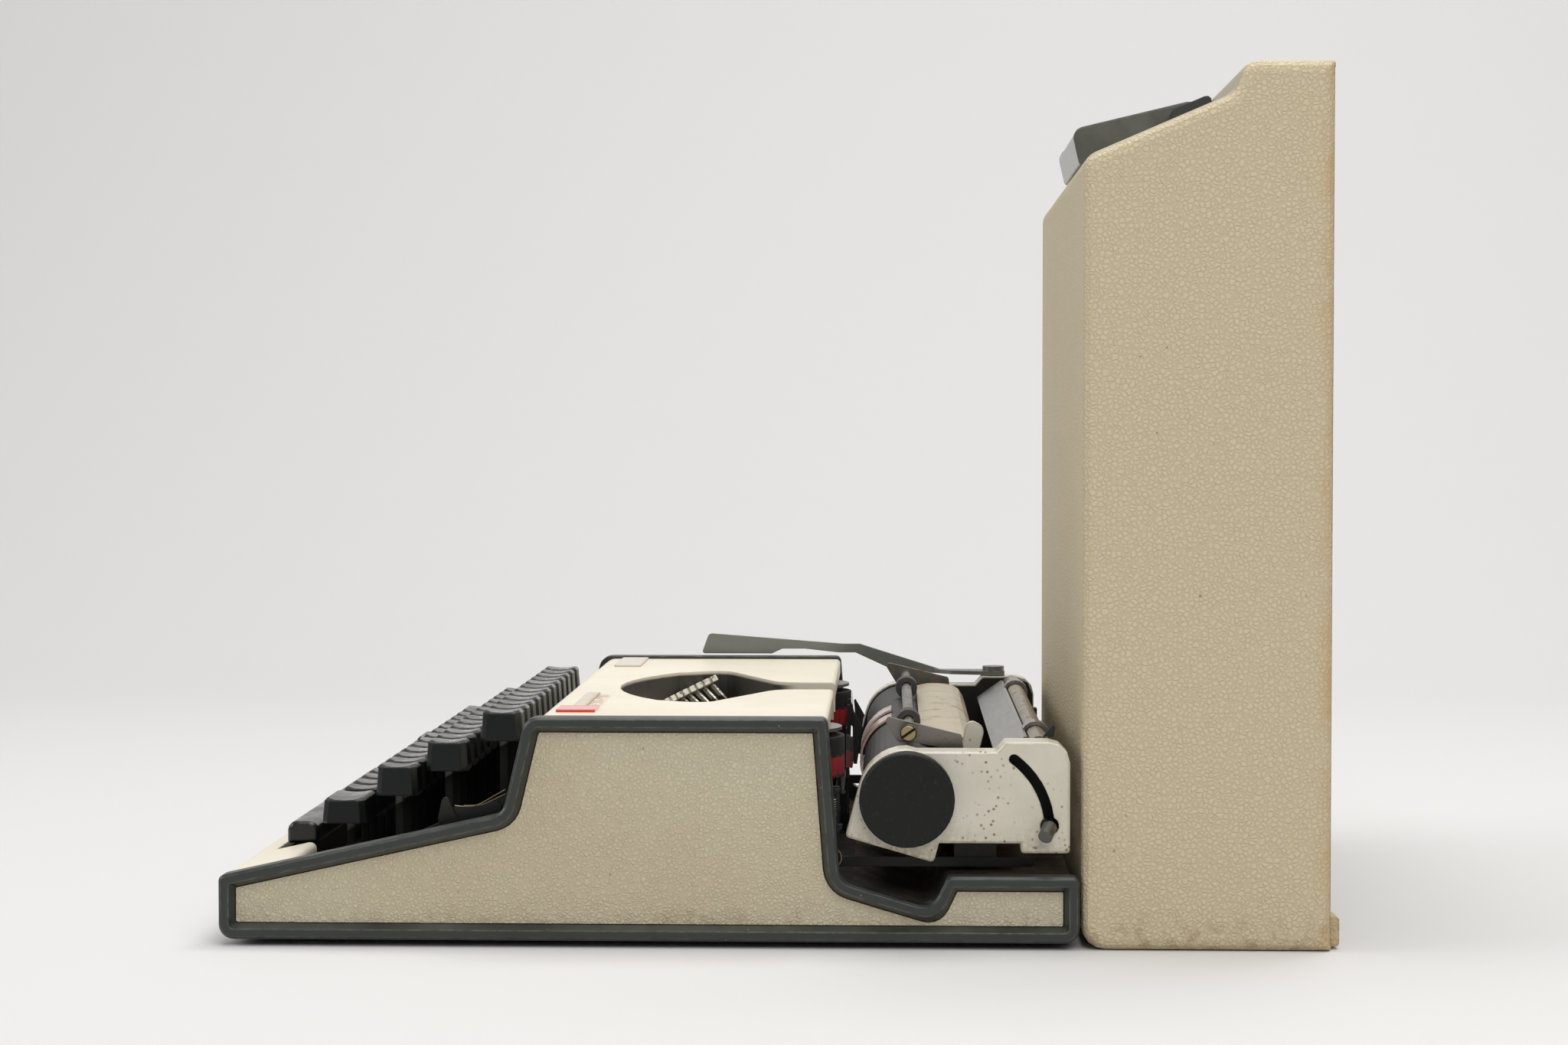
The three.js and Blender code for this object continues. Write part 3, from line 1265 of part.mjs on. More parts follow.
function lidCorners() {
  return [
    [0, 0, shell.footRadius], [lidDepth, 0, shell.rimRadius], [lidDepth, lidLength, shell.rimRadius],
    [shell.stepTop, lidLength, shell.bendRadius], [shell.slopeEnd, shell.slopeTop, shell.bendRadius],
    [0, shell.slopeFoot, shell.bendRadius],
  ];
}

function caseLid() {
  const outline = lidCorners();
  const body = roundedPrism(outline, -bodyHalf, bodyHalf, shell.sideEdge, alongX, 4);
  const inner = inset(outline, shell.wall).map(([y, z, radius]) => (
    y > lidDepth - shell.wall - overrun ? [lidDepth + overrun, z] : [y, z, radius]));
  const hollow = prism(inner, shell.wall - bodyHalf, bodyHalf - shell.wall, alongX, 4);
  const lugs = [-1, 1].map((sign) => {
    const lugInner = bodyHalf - shell.lugInset;
    const [a, b] = [sign * lugInner, sign * (lugInner + shell.lugWidth)];
    return prism(
      rectangle(lidDepth - shell.wall, lidDepth + shell.lugOut, shell.lugLow, shell.lugTop, shell.rimRadius),
      Math.min(a, b), Math.max(a, b), alongX, 2);
  });
  return join(cut(body, hollow), handleBracket(), ...lugs);
}

const grip = {
  half: 52, arm: 4, pivotY: 46.6, pivotRise: 7.4, pin: 1.5, frontY: 1.6, lift: 3, height: 13, thick: 6,
  lean: 3, radius: 2.6, armRadius: 4,
};
const lug = {
  half: 58, width: 4.7, front: 39.5, rear: 55.5, plate: 1.2, rise: 9.8, radius: 2, lean: 1.5, skin: 1.4,
};
const slopeRate = (shell.slopeTop - shell.slopeFoot) / shell.slopeEnd;
const slopeAt = (y) => shell.slopeFoot + slopeRate * y;

function gripTop() {
  return slopeAt(grip.frontY) + grip.lift + grip.height + grip.lift;
}

// The carrying handle at rest: folded down so that its grip hangs just over the lid's edge.
function lidHandle() {
  const pivotZ = slopeAt(grip.pivotY) + grip.pivotRise;
  const top = gripTop();
  const lowFront = slopeAt(grip.frontY + grip.lean) + grip.lift;
  const arms = [-1, 1].map((sign) => {
    const [a, b] = [sign * grip.half, sign * (grip.half - grip.arm)];
    return prism([
      [grip.frontY + grip.lean, lowFront, grip.radius / 2],
      [grip.pivotY + grip.armRadius, pivotZ - grip.armRadius, grip.radius],
      [grip.pivotY + grip.armRadius, pivotZ + grip.armRadius, grip.radius],
      [grip.frontY, top, grip.armRadius],
    ], Math.min(a, b), Math.max(a, b), alongX, 3);
  });
  const hold = prism([
    [grip.frontY + grip.lean, lowFront, grip.radius / 2],
    [grip.frontY + grip.lean + grip.thick, lowFront + slopeRate * grip.thick, grip.radius / 2],
    [grip.frontY + grip.thick, top, grip.radius],
    [grip.frontY, top - grip.radius / 2, grip.radius],
  ], -grip.half, grip.half, alongX, 3);
  const reach = lug.half - lug.skin - fit;
  const pin = [-1, 1].map((sign) => rod(
    [sign * (grip.half - grip.arm), grip.pivotY, pivotZ], [sign * reach, grip.pivotY, pivotZ], grip.pin, 12));
  return join(hold, ...arms, ...pin);
}

function handleBracket() {
  const pivotZ = slopeAt(grip.pivotY) + grip.pivotRise;
  const base = (rise) => [lug.front, lug.rear].map((y) => [y, slopeAt(y) + rise]);
  const seat = [...base(-overrun), ...base(lug.plate).reverse()];
  const foot = prism(seat, -lug.half, lug.half, alongX);
  const sides = [-1, 1].map((sign) => {
    const [a, b] = [sign * lug.half, sign * (lug.half - lug.width)];
    const outline = [
      ...base(-overrun), [lug.rear + lug.lean, slopeAt(lug.rear) + lug.rise, lug.radius],
      [lug.front + lug.lean, slopeAt(lug.front) + lug.rise, lug.radius],
    ];
    return prism(outline, Math.min(a, b), Math.max(a, b), alongX, 3);
  });
  const end = lug.half - lug.skin;
  const hole = rod([-end, grip.pivotY, pivotZ], [end, grip.pivotY, pivotZ], grip.pin + fit, 12);
  return cut(join(foot, ...sides), hole);
}

add(lid, "case_lid", caseLid(), grained);
add(lid, "lid_handle", lidHandle(), keyDark);

// The origin lies on the floor, under the middle of the machine and its lid together.
const rearmost = lidFront + lidDepth + shell.lugOut;
machine.position.y = -rearmost / 2;

export default machine;
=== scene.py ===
import math
import random

import bmesh
import bpy
from mathutils import Matrix, Vector
from mathutils.bvhtree import BVHTree


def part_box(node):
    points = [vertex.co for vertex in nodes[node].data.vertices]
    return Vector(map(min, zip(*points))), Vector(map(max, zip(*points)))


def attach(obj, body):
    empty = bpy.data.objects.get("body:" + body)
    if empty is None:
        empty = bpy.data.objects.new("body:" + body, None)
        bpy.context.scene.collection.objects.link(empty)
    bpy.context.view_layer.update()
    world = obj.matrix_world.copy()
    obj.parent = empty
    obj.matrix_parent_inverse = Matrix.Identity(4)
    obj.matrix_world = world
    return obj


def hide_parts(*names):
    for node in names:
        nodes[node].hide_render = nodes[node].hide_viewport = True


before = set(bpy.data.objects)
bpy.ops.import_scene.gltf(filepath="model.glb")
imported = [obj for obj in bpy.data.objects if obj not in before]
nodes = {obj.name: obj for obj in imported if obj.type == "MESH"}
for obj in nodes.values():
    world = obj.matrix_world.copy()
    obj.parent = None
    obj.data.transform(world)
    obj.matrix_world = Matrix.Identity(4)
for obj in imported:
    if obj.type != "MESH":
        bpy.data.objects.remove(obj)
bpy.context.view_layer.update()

# Casing: two side trims of dark green-grey moulded plastic clip over the ends of the body. Their edges
# are painted pale, partly as wear from handling and partly as painted highlight, and dust lies on their
# upper faces. They frame the grained side panels.
FRONT_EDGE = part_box("side_trim_right")[0].y
MM = 0.001


def spot(x, y, z):
    """A place in the row frame from millimetres across, behind the front edge and above the table."""
    return Vector((x * MM, FRONT_EDGE + y * MM, z * MM))


class Amount:
    """One socket's value in a finish, so that shader maths reads as plain expressions."""

    def __init__(self, finish, socket):
        self.finish = finish
        self.socket = socket

    def maths(self, operation, first, second=0.0, third=0.0):
        return self.finish.node("Math", {"operation": operation}, {0: first, 1: second, 2: third})

    def __add__(self, other):
        return self.maths("ADD", self, other)

    __radd__ = __add__

    def __sub__(self, other):
        return self.maths("SUBTRACT", self, other)

    def __rsub__(self, other):
        return self.maths("SUBTRACT", other, self)

    def __mul__(self, other):
        return self.maths("MULTIPLY", self, other)

    __rmul__ = __mul__

    def size(self):
        return self.maths("ABSOLUTE", self)

    def fraction(self):
        return self.maths("FRACT", self)

    def most(self, other):
        return self.maths("MAXIMUM", self, other)

    def least(self, other):
        return self.maths("MINIMUM", self, other)

    def part(self, axis):
        return self.finish.node("SeparateXYZ", {}, {"Vector": self}, axis)

    def ramp(self, low, high):
        """0 below low and 1 above high, with a soft step between them."""
        soft = {"interpolation_type": "SMOOTHSTEP"}
        return self.finish.node("MapRange", soft, {"Value": self, "From Min": low, "From Max": high})


class Finish:
    """A procedural material: a principled surface with what varies over it built node by node."""

    def __init__(self, name):
        self.material = bpy.data.materials.new(name)
        self.material.use_nodes = True
        self.tree = self.material.node_tree
        self.tree.nodes.clear()
        self.surface = self.tree.nodes.new("ShaderNodeBsdfPrincipled")
        output = self.tree.nodes.new("ShaderNodeOutputMaterial")
        self.tree.links.new(self.surface.outputs[0], output.inputs[0])
        self.place = self.node("TexCoord", output="Object")
        self.x, self.y, self.z = (self.place.part(axis) for axis in range(3))
        self.up = self.node("NewGeometry", output="Normal").part(2)

    def node(self, kind, settings=None, values=None, output=0):
        made = self.tree.nodes.new("ShaderNode" + kind)
        for name, value in (settings or {}).items():
            setattr(made, name, value)
        for name, value in (values or {}).items():
            self.fill(made.inputs[name], value)
        return Amount(self, made.outputs[output])

    def fill(self, socket, value):
        if isinstance(value, Amount):
            self.tree.links.new(value.socket, socket)
        elif isinstance(value, tuple) and socket.type == "RGBA":
            socket.default_value = (*value, 1.0)
        else:
            socket.default_value = value

    def mix(self, share, first, second):
        """Two colours mixed by a share."""
        settings = {"data_type": "RGBA"}
        return self.node("Mix", settings, {0: share, 6: first, 7: second}, 2)

    def noise(self, scale, detail=3.0, roughness=0.5, stretch=(1, 1, 1), distortion=0.0):
        where = self.node("Mapping", {}, {"Vector": self.place, "Scale": stretch})
        values = {"Vector": where, "Scale": scale, "Detail": detail, "Roughness": roughness}
        return self.node("TexNoise", {}, values | {"Distortion": distortion})

    def specks(self, scale, low, high):
        """Small scattered dots, 1 inside each dot."""
        cells = self.node("TexVoronoi", {}, {"Vector": self.place, "Scale": scale}, "Distance")
        return 1 - cells.ramp(low, high)

    def worn_edges(self, radius, low=0.02, high=0.25):
        """1 along outer and inner edges, and 0 on flat faces."""
        rounded = self.node("Bevel", {"samples": 4}, {"Radius": radius})
        flat = self.node("NewGeometry", output="True Normal")
        turned = self.node("VectorMath", {"operation": "DOT_PRODUCT"}, {0: rounded, 1: flat}, "Value")
        return (1 - turned).ramp(low, high)

    def relief(self, height, depth, radius=0.0):
        """A bump of that depth in metres, over edges rounded by that radius."""
        values = {"Height": height, "Distance": depth}
        if radius:
            values["Normal"] = self.node("Bevel", {"samples": 4}, {"Radius": radius})
        self.fill(self.surface.inputs["Normal"], self.node("Bump", {}, values))

    def set(self, **values):
        for name, value in values.items():
            self.fill(self.surface.inputs[name.replace("_", " ").title().replace("Ior", "IOR")], value)

    def on(self, *names):
        for name in names:
            piece = nodes[name] if name in nodes else bpy.data.objects[name]
            piece.data.materials.clear()
            piece.data.materials.append(self.material)


def trim_plastic():
    trim = Finish("trim_plastic")
    patches = trim.noise(28, 5, 0.6)
    scuffs = trim.noise(900, 3, 0.6, (0.2, 1, 1)).ramp(0.62, 0.72)
    edges = trim.worn_edges(0.0011) * trim.noise(160, 4, 0.7).ramp(0.35, 0.62)
    dust = trim.up.ramp(0.55, 0.95) * patches.ramp(0.3, 0.75)
    base = trim.mix(patches, (0.016, 0.020, 0.017), (0.032, 0.037, 0.032))
    dusty = trim.mix(dust * 0.4, base, (0.15, 0.147, 0.133))
    # The pale edges are partly wear and partly painted highlight; they stay darker by the panel as a painted
    # shade line.
    panel_edge = spot(151.5, 0, 0).x
    clear_of_groove_shade = (trim.x.size() - panel_edge).size().ramp(0.001, 0.003)
    worn = trim.mix(edges * (0.35 + 0.5 * clear_of_groove_shade), dusty, (0.27, 0.26, 0.225))
    chips = trim.specks(210, 0.03, 0.09) * trim.noise(22, 2).ramp(0.55, 0.68)
    trim.set(
        base_color=trim.mix(chips * 0.8, worn, (0.42, 0.40, 0.34)),
        roughness=0.30 + 0.22 * dust + 0.12 * scuffs + 0.1 * patches,
        specular_ior_level=0.5,
    )
    trim.relief(scuffs * 0.4 + trim.noise(2500, 2) * 0.5, 0.00002, 0.0006)
    trim.on("side_trim_right", "side_trim_left")


trim_plastic()


# Side panels: thin sheet covered in fine leather-grained vinyl, cream gone darker with age. It sits
# recessed inside the trim, with grime held in the grain along its lower edge.
def grained_vinyl(name, light, dark, pebble, stain, soil):
    skin = Finish(name)
    drift = skin.noise(pebble * 0.5, 2, 0.6)
    bent = skin.node("VectorMath", {"operation": "ADD"}, {0: skin.place, 1: drift * (0.8 / pebble)})
    creases = skin.node("TexVoronoi", {"feature": "DISTANCE_TO_EDGE"}, {"Vector": bent, "Scale": pebble})
    grain = creases.ramp(0.0, 0.3) * 0.8 + skin.noise(pebble * 1.6, 3, 0.6) * 0.5
    # The grain is painted darker in its creases and lighter on its hills: painted shade and painted
    # highlight over the vinyl's own tone.
    tone = skin.mix(grain.ramp(0.1, 0.75), dark, light)
    aged = skin.mix(skin.noise(9, 5, 0.6).ramp(0.45, 0.72) * 0.3, tone, stain)
    low = 1 - (skin.z + skin.noise(40, 3) * 0.02).ramp(0.012, 0.03)
    soiled = skin.mix(low * skin.noise(160, 4, 0.7).ramp(0.45, 0.7) * 0.5, aged, soil)
    dots = skin.specks(95, 0.03, 0.07) * skin.noise(30, 2).ramp(0.5, 0.62)
    return skin, grain, skin.mix(dots * 0.7, soiled, soil)


def side_panels():
    skin, grain, colour = grained_vinyl(
        "grained_skin", (0.58, 0.52, 0.375), (0.50, 0.44, 0.315), 640, (0.44, 0.35, 0.21), (0.16, 0.10, 0.05)
    )
    skin.set(base_color=colour, roughness=0.55, specular_ior_level=0.35)
    skin.relief(grain, 0.0003)
    skin.on("side_panel_right", "side_panel_left")


side_panels()


# Top cover, front apron and paper table: pressed steel in cream stove enamel, slightly dirty. The edges
# have yellowed where hands and dust reached them, and painted shade darkens the wall of the type opening.
def cream_enamel():
    cream = Finish("cream_enamel")
    haze = cream.noise(14, 5, 0.6)
    edges = cream.worn_edges(0.0022, 0.01, 0.2) * cream.noise(90, 4, 0.7).ramp(0.3, 0.7)
    grime = cream.noise(60, 5, 0.7).ramp(0.62, 0.8)
    base = cream.mix(haze.ramp(0.3, 0.75), (0.77, 0.715, 0.58), (0.70, 0.64, 0.50))
    stained = cream.mix(edges * 0.5, base, (0.40, 0.29, 0.15))
    dirty = cream.mix(grime * 0.22, stained, (0.30, 0.24, 0.16))
    glue = spot(74, 134, 0)
    beside = 1 - (cream.x - glue.x).size().ramp(0.022, 0.036)
    behind = 1 - (cream.y - glue.y).size().ramp(0.001, 0.0045)
    creep = beside * behind * cream.up.ramp(0.5, 0.9)
    dirty = cream.mix(creep * cream.noise(420, 4, 0.7).ramp(0.38, 0.6) * 0.8, dirty, (0.36, 0.19, 0.06))
    # Painted shade: the upright wall inside the type opening is darkened to near black.
    well_side = spot(90, 0, 0).x
    well_front = spot(0, 120, 83.3)
    well_rear = spot(0, 202, 83.3)
    upright = 1 - cream.up.size().ramp(0.3, 0.6)
    below_top = 1 - (cream.z - well_front.z).ramp(-0.0006, 0.0006)
    within = 1 - (cream.x.size() - well_side).ramp(0.0, 0.001)
    past_front = (cream.y - well_front.y).ramp(0.0, 0.001)
    before_rear = 1 - (cream.y - well_rear.y).ramp(0.0, 0.01)
    opening_wall_shade = upright * below_top * within * past_front * before_rear
    dirty = cream.mix(opening_wall_shade * 0.97, dirty, (0.010, 0.009, 0.008))
    dots = cream.specks(150, 0.03, 0.07) * cream.noise(25, 2).ramp(0.52, 0.6)
    cream.set(
        base_color=cream.mix(dots * 0.6, dirty, (0.12, 0.08, 0.05)),
        roughness=0.36 + 0.2 * grime + 0.1 * haze,
        coat_weight=0.15,
        coat_roughness=0.25,
    )
    cream.relief(cream.noise(1600, 2), 0.000012, 0.0012)
    cream.on("top_cover", "front_apron")


def worn_table():
    """Paper has polished the table for years, so its cream has gone brown in streaks."""
    table = Finish("worn_table")
    streaks = table.noise(260, 5, 0.7, (1, 0.12, 0.12))
    bare = table.noise(60, 5, 0.75).ramp(0.52, 0.72)
    base = table.mix(streaks.ramp(0.3, 0.7), (0.50, 0.43, 0.28), (0.40, 0.33, 0.20))
    table.set(base_color=table.mix(bare * 0.6, base, (0.17, 0.12, 0.07)), roughness=0.33 + 0.3 * bare)
    table.relief(streaks, 0.000012, 0.0003)
    table.on("paper_table")


cream_enamel()
worn_table()


# Labels on the cover: a bare enamelled pad, a red translucent tab, and a bare pressed strip. Each is glued
# on, and the strip's glue has crept out brown along its rear edge.
def pad_finish():
    pad = Finish("badge_enamel")
    edges = pad.worn_edges(0.0012)
    yellowed = edges * 0.5 + pad.noise(120, 4).ramp(0.55, 0.75) * 0.3
    pad.set(base_color=pad.mix(yellowed, (0.62, 0.57, 0.50), (0.45, 0.34, 0.2)), roughness=0.35)
    pad.relief(pad.noise(1200, 2), 0.00001, 0.0005)
    pad.on("badge_plate")


def red_tab_finish():
    red = Finish("red_tab_plastic")
    tab_middle = spot(112, 0, 0).x
    # Painted highlight: a lighter band is painted across the tab's middle.
    middle = (red.x - tab_middle).size().ramp(0.004, 0.009)
    red.set(
        base_color=red.mix(middle, (0.78, 0.19, 0.15), (0.66, 0.022, 0.018)),
        roughness=0.16 + 0.1 * red.noise(300, 2),
        coat_weight=0.6,
        coat_roughness=0.08,
    )
    red.relief(red.noise(400, 2), 0.00002, 0.0006)
    red.on("red_tab")


def new_piece(name, mesh, body, finish):
    """Links a mesh as a piece that rides on a body and wears a finish."""
    piece = bpy.data.objects.new(name, mesh)
    bpy.context.scene.collection.objects.link(piece)
    mesh.materials.append(finish.material)
    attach(piece, body)
    return piece


def rounded_bar(mesh, low, high, edge):
    """Adds a box between two corners, with its edges rounded."""
    made = bmesh.ops.create_cube(mesh, size=1.0)["verts"]
    scale = Matrix.Diagonal((*(high - low), 1.0))
    bmesh.ops.transform(mesh, matrix=Matrix.Translation((low + high) / 2) @ scale, verts=made)
    edges = list({e for v in made for e in v.link_edges})
    bmesh.ops.bevel(mesh, geom=edges, offset=edge, segments=3, profile=0.5, affect="EDGES")


def finished(mesh, name, smooth=True):
    for face in mesh.faces:
        face.smooth = smooth
    data = bpy.data.meshes.new(name)
    bmesh.ops.recalc_face_normals(mesh, faces=mesh.faces)
    mesh.to_mesh(data)
    mesh.free()
    return data


def name_strip():
    strip = Finish("strip_enamel")
    low, high, edge = spot(40, 126.5, 84.4), spot(100, 132, 85.1), 0.3 * MM
    creep_from = high.y - 1.6 * MM
    haze = strip.noise(140, 4, 0.65).ramp(0.35, 0.7)
    base = strip.mix(haze, (0.60, 0.55, 0.46), (0.53, 0.475, 0.375))
    creep = (strip.y - creep_from).ramp(0.0, 0.0016) * strip.noise(500, 4, 0.7).ramp(0.35, 0.6)
    strip.set(base_color=strip.mix(creep * 0.8, base, (0.33, 0.17, 0.05)), roughness=0.4)
    strip.relief(strip.noise(900, 3), 0.00002)
    mesh = bmesh.new()
    rounded_bar(mesh, low, high, edge)
    new_piece("name_strip", finished(mesh, "name_strip"), "top_cover", strip)


pad_finish()
red_tab_finish()
name_strip()


# Keys: glossy dark plastic caps, dished for the fingers, on flat blackened levers. Use has polished them,
# and grey dust lies on the tops.
def key_plastic():
    keys = Finish("key_plastic")
    dust = keys.up.ramp(0.5, 0.95) * keys.noise(70, 5, 0.65).ramp(0.35, 0.7)
    # The cap edges are painted lighter as a painted rim highlight.
    edges = keys.worn_edges(0.0008, 0.05, 0.4)
    base = keys.mix(keys.noise(35, 3), (0.003, 0.0045, 0.004), (0.007, 0.009, 0.008))
    dusty = keys.mix(dust * 0.3, base, (0.12, 0.115, 0.10))
    keyboard_slope = 0.55
    first_lever = spot(0, 30, 15)
    under = 1 - (keys.z - first_lever.z - (keys.y - FRONT_EDGE) * keyboard_slope).ramp(-0.0005, 0.0005)
    lever = under.least((keys.y - first_lever.y).ramp(0.0, 0.001))
    shaded = keys.mix(lever, dusty, (0.003, 0.003, 0.0025))
    keys.set(
        base_color=keys.mix(edges * 0.2 * (1 - lever), shaded, (0.10, 0.105, 0.10)),
        roughness=0.17 + 0.26 * dust + 0.05 * keys.noise(400, 3) + 0.6 * lever,
        specular_ior_level=0.4,
        coat_weight=(1 - lever) * 0.22,
        coat_roughness=0.1,
    )
    keys.relief(keys.noise(1800, 2), 0.000006, 0.0014)
    keys.on(
        "key_row_one", "key_row_two", "key_row_three", "key_row_four", "space_bar", "shift_key_right",
        "shift_key_left", "shift_lock_key", "margin_release_key", "backspace_key",
    )


def surface_under(node):
    """Gives a function that finds the height of a piece's top surface at a place."""
    mesh = nodes[node].data
    corners = [vertex.co.copy() for vertex in mesh.vertices]
    tree = BVHTree.FromPolygons(corners, [list(face.vertices) for face in mesh.polygons])

    def height(x, y):
        well_above = 1.0
        hit = tree.ray_cast(Vector((x, y, well_above)), Vector((0, 0, -1)))[0]
        return hit.z if hit else 0.0

    return height


def letter(sign, size):
    curve = bpy.data.curves.new("letter", "FONT")
    curve.body, curve.size, curve.align_x, curve.align_y = sign, size, "CENTER", "CENTER"
    holder = bpy.data.objects.new("letter", curve)
    mesh = bpy.data.meshes.new_from_object(holder)
    bpy.data.objects.remove(holder)
    return mesh


def legends():
    paint = Finish("legend_paint")
    rubbed = paint.noise(900, 4, 0.7).ramp(0.55, 0.7)
    paint.set(base_color=paint.mix(rubbed * 0.6, (0.62, 0.60, 0.52), (0.25, 0.24, 0.20)), roughness=0.5)
    paint.relief(rubbed, 0.00001)
    pitch = 19
    letter_size, paint_thick = 6.2 * MM, 0.04 * MM
    rows = [
        ("one", 44.2, -85.5, "ZXCVBNM,./"), ("two", 62.6, -93.48, "ASDFGHJKL;:'"),
        ("three", 81, -98.42, "QWERTYUIOP+="), ("four", 101.4, -104.5, "234567890-*"),
    ]
    for name, behind, first, signs in rows:
        height = surface_under("key_row_" + name)
        made = bmesh.new()
        for place, sign in enumerate(signs):
            middle = spot(first + pitch * place, behind, 0)
            mesh = letter(sign, letter_size)
            for vertex in mesh.vertices:
                x, y = middle.x + vertex.co.x, middle.y + vertex.co.y
                vertex.co = (x, y, height(x, y) + paint_thick)
            made.from_mesh(mesh)
        letters = finished(made, "legends_" + name, False)
        new_piece("legends_" + name, letters, "row_" + name, paint)


key_plastic()
legends()


# Frame, comb, carriage frame and guide: sheet steel, blanked, bent and stoved black, then screwed together
# inside the pan. Decades of grey-brown dust lie on whatever faces up, and thickest on the rear deck.
def black_steel():
    steel = Finish("black_steel")
    dust = steel.up.ramp(0.2, 0.9) * steel.noise(55, 5, 0.7).ramp(0.3, 0.65)
    rust = steel.noise(140, 5, 0.7).ramp(0.62, 0.74)
    base = steel.mix(steel.noise(30, 3), (0.006, 0.006, 0.006), (0.014, 0.013, 0.012))
    dusty = steel.mix(dust * 0.35, base, (0.10, 0.075, 0.05))
    steel.set(
        base_color=steel.mix(rust * 0.4, dusty, (0.13, 0.06, 0.025)),
        roughness=0.5 + 0.35 * dust,
        metallic=0.2,
    )
    steel.relief(steel.noise(900, 4), 0.00004, 0.0004)
    steel.on(
        "base_pan", "carriage_rail", "frame_plate_right", "frame_plate_left", "lever_comb", "type_guide",
        "carriage_frame", "margin_stop_right", "margin_stop_left",
    )


def deck_dust():
    deck = Finish("deck_dust")
    fluff = deck.noise(240, 6, 0.75)
    grit = deck.specks(420, 0.1, 0.22) * deck.noise(60, 3).ramp(0.4, 0.6)
    soil = deck.mix(deck.noise(38, 5, 0.65).ramp(0.35, 0.7), (0.022, 0.016, 0.012), (0.13, 0.085, 0.05))
    deck.set(base_color=deck.mix(grit * 0.6, soil, (0.25, 0.19, 0.13)), roughness=0.92)
    deck.relief(fluff + grit * 0.5, 0.0004)
    deck.on("rear_deck")


black_steel()
deck_dust()


# Bright parts: plated steel that has dulled, with rust freckles and a fine brushed grain. The rods, levers,
# rack and drum each have their own tone, and the paper flap is thin sheet with shallow dents.
def plated_steel(name, tone, rough, rust_low, *names):
    plate = Finish(name)
    brush = plate.noise(700, 3, 0.6, (0.06, 1, 1))
    rust = plate.noise(170, 6, 0.75).ramp(rust_low, rust_low + 0.12)
    dull = plate.noise(40, 4)
    dulled_share = 0.72
    base = plate.mix(dull, tuple(dulled_share * colour for colour in tone), tone)
    plate.set(
        base_color=plate.mix(rust * 0.75, base, (0.15, 0.075, 0.03)),
        metallic=1 - 0.8 * rust,
        roughness=rough + 0.14 * brush + 0.3 * rust,
    )
    plate.relief(brush * 0.6 + rust * 0.5, 0.00003, 0.0003)
    plate.on(*names)
    return plate


plated_steel("bright_steel", (0.50, 0.49, 0.46), 0.22, 0.6, "mainspring_drum", "margin_rack")
plated_steel("bail_steel", (0.25, 0.235, 0.21), 0.3, 0.52, "paper_bail")
plated_steel("tube_steel", (0.44, 0.385, 0.30), 0.32, 0.54, "rear_tube")
plated_steel("lever_steel", (0.30, 0.31, 0.29), 0.34, 0.66, "return_lever")
plated_steel("stud_steel", (0.16, 0.16, 0.15), 0.36, 0.54, "support_stud")
dented = plated_steel("flap_steel", (0.34, 0.33, 0.31), 0.24, 0.6, "paper_support")
dented.relief(dented.noise(48, 4, 0.6, (0.5, 1, 1), 0.6), 0.0011)


# Typebars: bars of oiled steel gone brown, pivoted side by side in a slotted segment, with bright type
# slugs soldered to their ends. The vibrator in front of them is thin dark sheet.
def type_metal():
    metal = Finish("type_steel")
    fan_middle = spot(0, 238.65, 56.4)
    fan_rise, fan_lean = 0.9216, 0.3881
    slug_low, slug_high = 41.2 * MM, 41.8 * MM
    out = (metal.z - fan_middle.z) * fan_rise - (metal.y - fan_middle.y) * fan_lean
    slug = out.ramp(slug_low, slug_high)
    ink = metal.noise(700, 4, 0.7).ramp(0.5, 0.66)
    oil = metal.noise(120, 4, 0.7)
    bars = metal.mix(oil, (0.05, 0.036, 0.022), (0.22, 0.17, 0.11))
    faces = metal.mix(ink, (0.74, 0.70, 0.58), (0.07, 0.05, 0.035))
    metal.set(
        base_color=metal.mix(slug, bars, faces),
        metallic=0.4 - 0.3 * slug,
        roughness=0.42 + 0.2 * ink,
    )
    metal.relief(ink + oil * 0.3, 0.00008, 0.0003)
    metal.on("type_segment", "typebar_middle")


type_metal()
plated_steel("vibrator_steel", (0.10, 0.10, 0.10), 0.4, 0.6, "ribbon_vibrator")


# Platen, feed roller, bail rollers, feet and typebar rest: hard black rubber, greyed, with faint rings of
# wear round the rollers. Two dark plastic knobs are pressed on the ends of the platen's shaft.
def black_rubber():
    rubber = Finish("black_rubber")
    rings = rubber.noise(900, 3, 0.6, (1, 0.02, 0.02))
    bloom = rubber.noise(30, 5, 0.6)
    greyed = bloom.ramp(0.3, 0.7) * 0.6 + rings * 0.2
    base = rubber.mix(greyed, (0.030, 0.030, 0.029), (0.085, 0.080, 0.074))
    rubber.set(base_color=base, roughness=0.5 + 0.2 * bloom)
    rubber.relief(rings, 0.00004, 0.0003)
    rubber.on(
        "platen", "feed_roller", "bail_roller_right", "bail_roller_left", "foot_front_right",
        "foot_front_left", "foot_rear_right", "foot_rear_left", "typebar_rest",
    )


def knob_plastic():
    knob = Finish("knob_plastic")
    scuffs = knob.noise(500, 4, 0.7).ramp(0.55, 0.7)
    # Scuffs are lightened as wear, and the rim is painted lighter as a painted highlight.
    edges = knob.worn_edges(0.0009, 0.04, 0.35)
    knob.set(
        base_color=knob.mix(scuffs * 0.1 + edges * 0.3, (0.004, 0.005, 0.004), (0.12, 0.12, 0.11)),
        roughness=0.46 + 0.15 * scuffs,
        specular_ior_level=0.28,
    )
    knob.relief(knob.noise(1500, 3), 0.00002, 0.0005)
    knob.on("platen_knob_right", "platen_knob_left")


black_rubber()
knob_plastic()


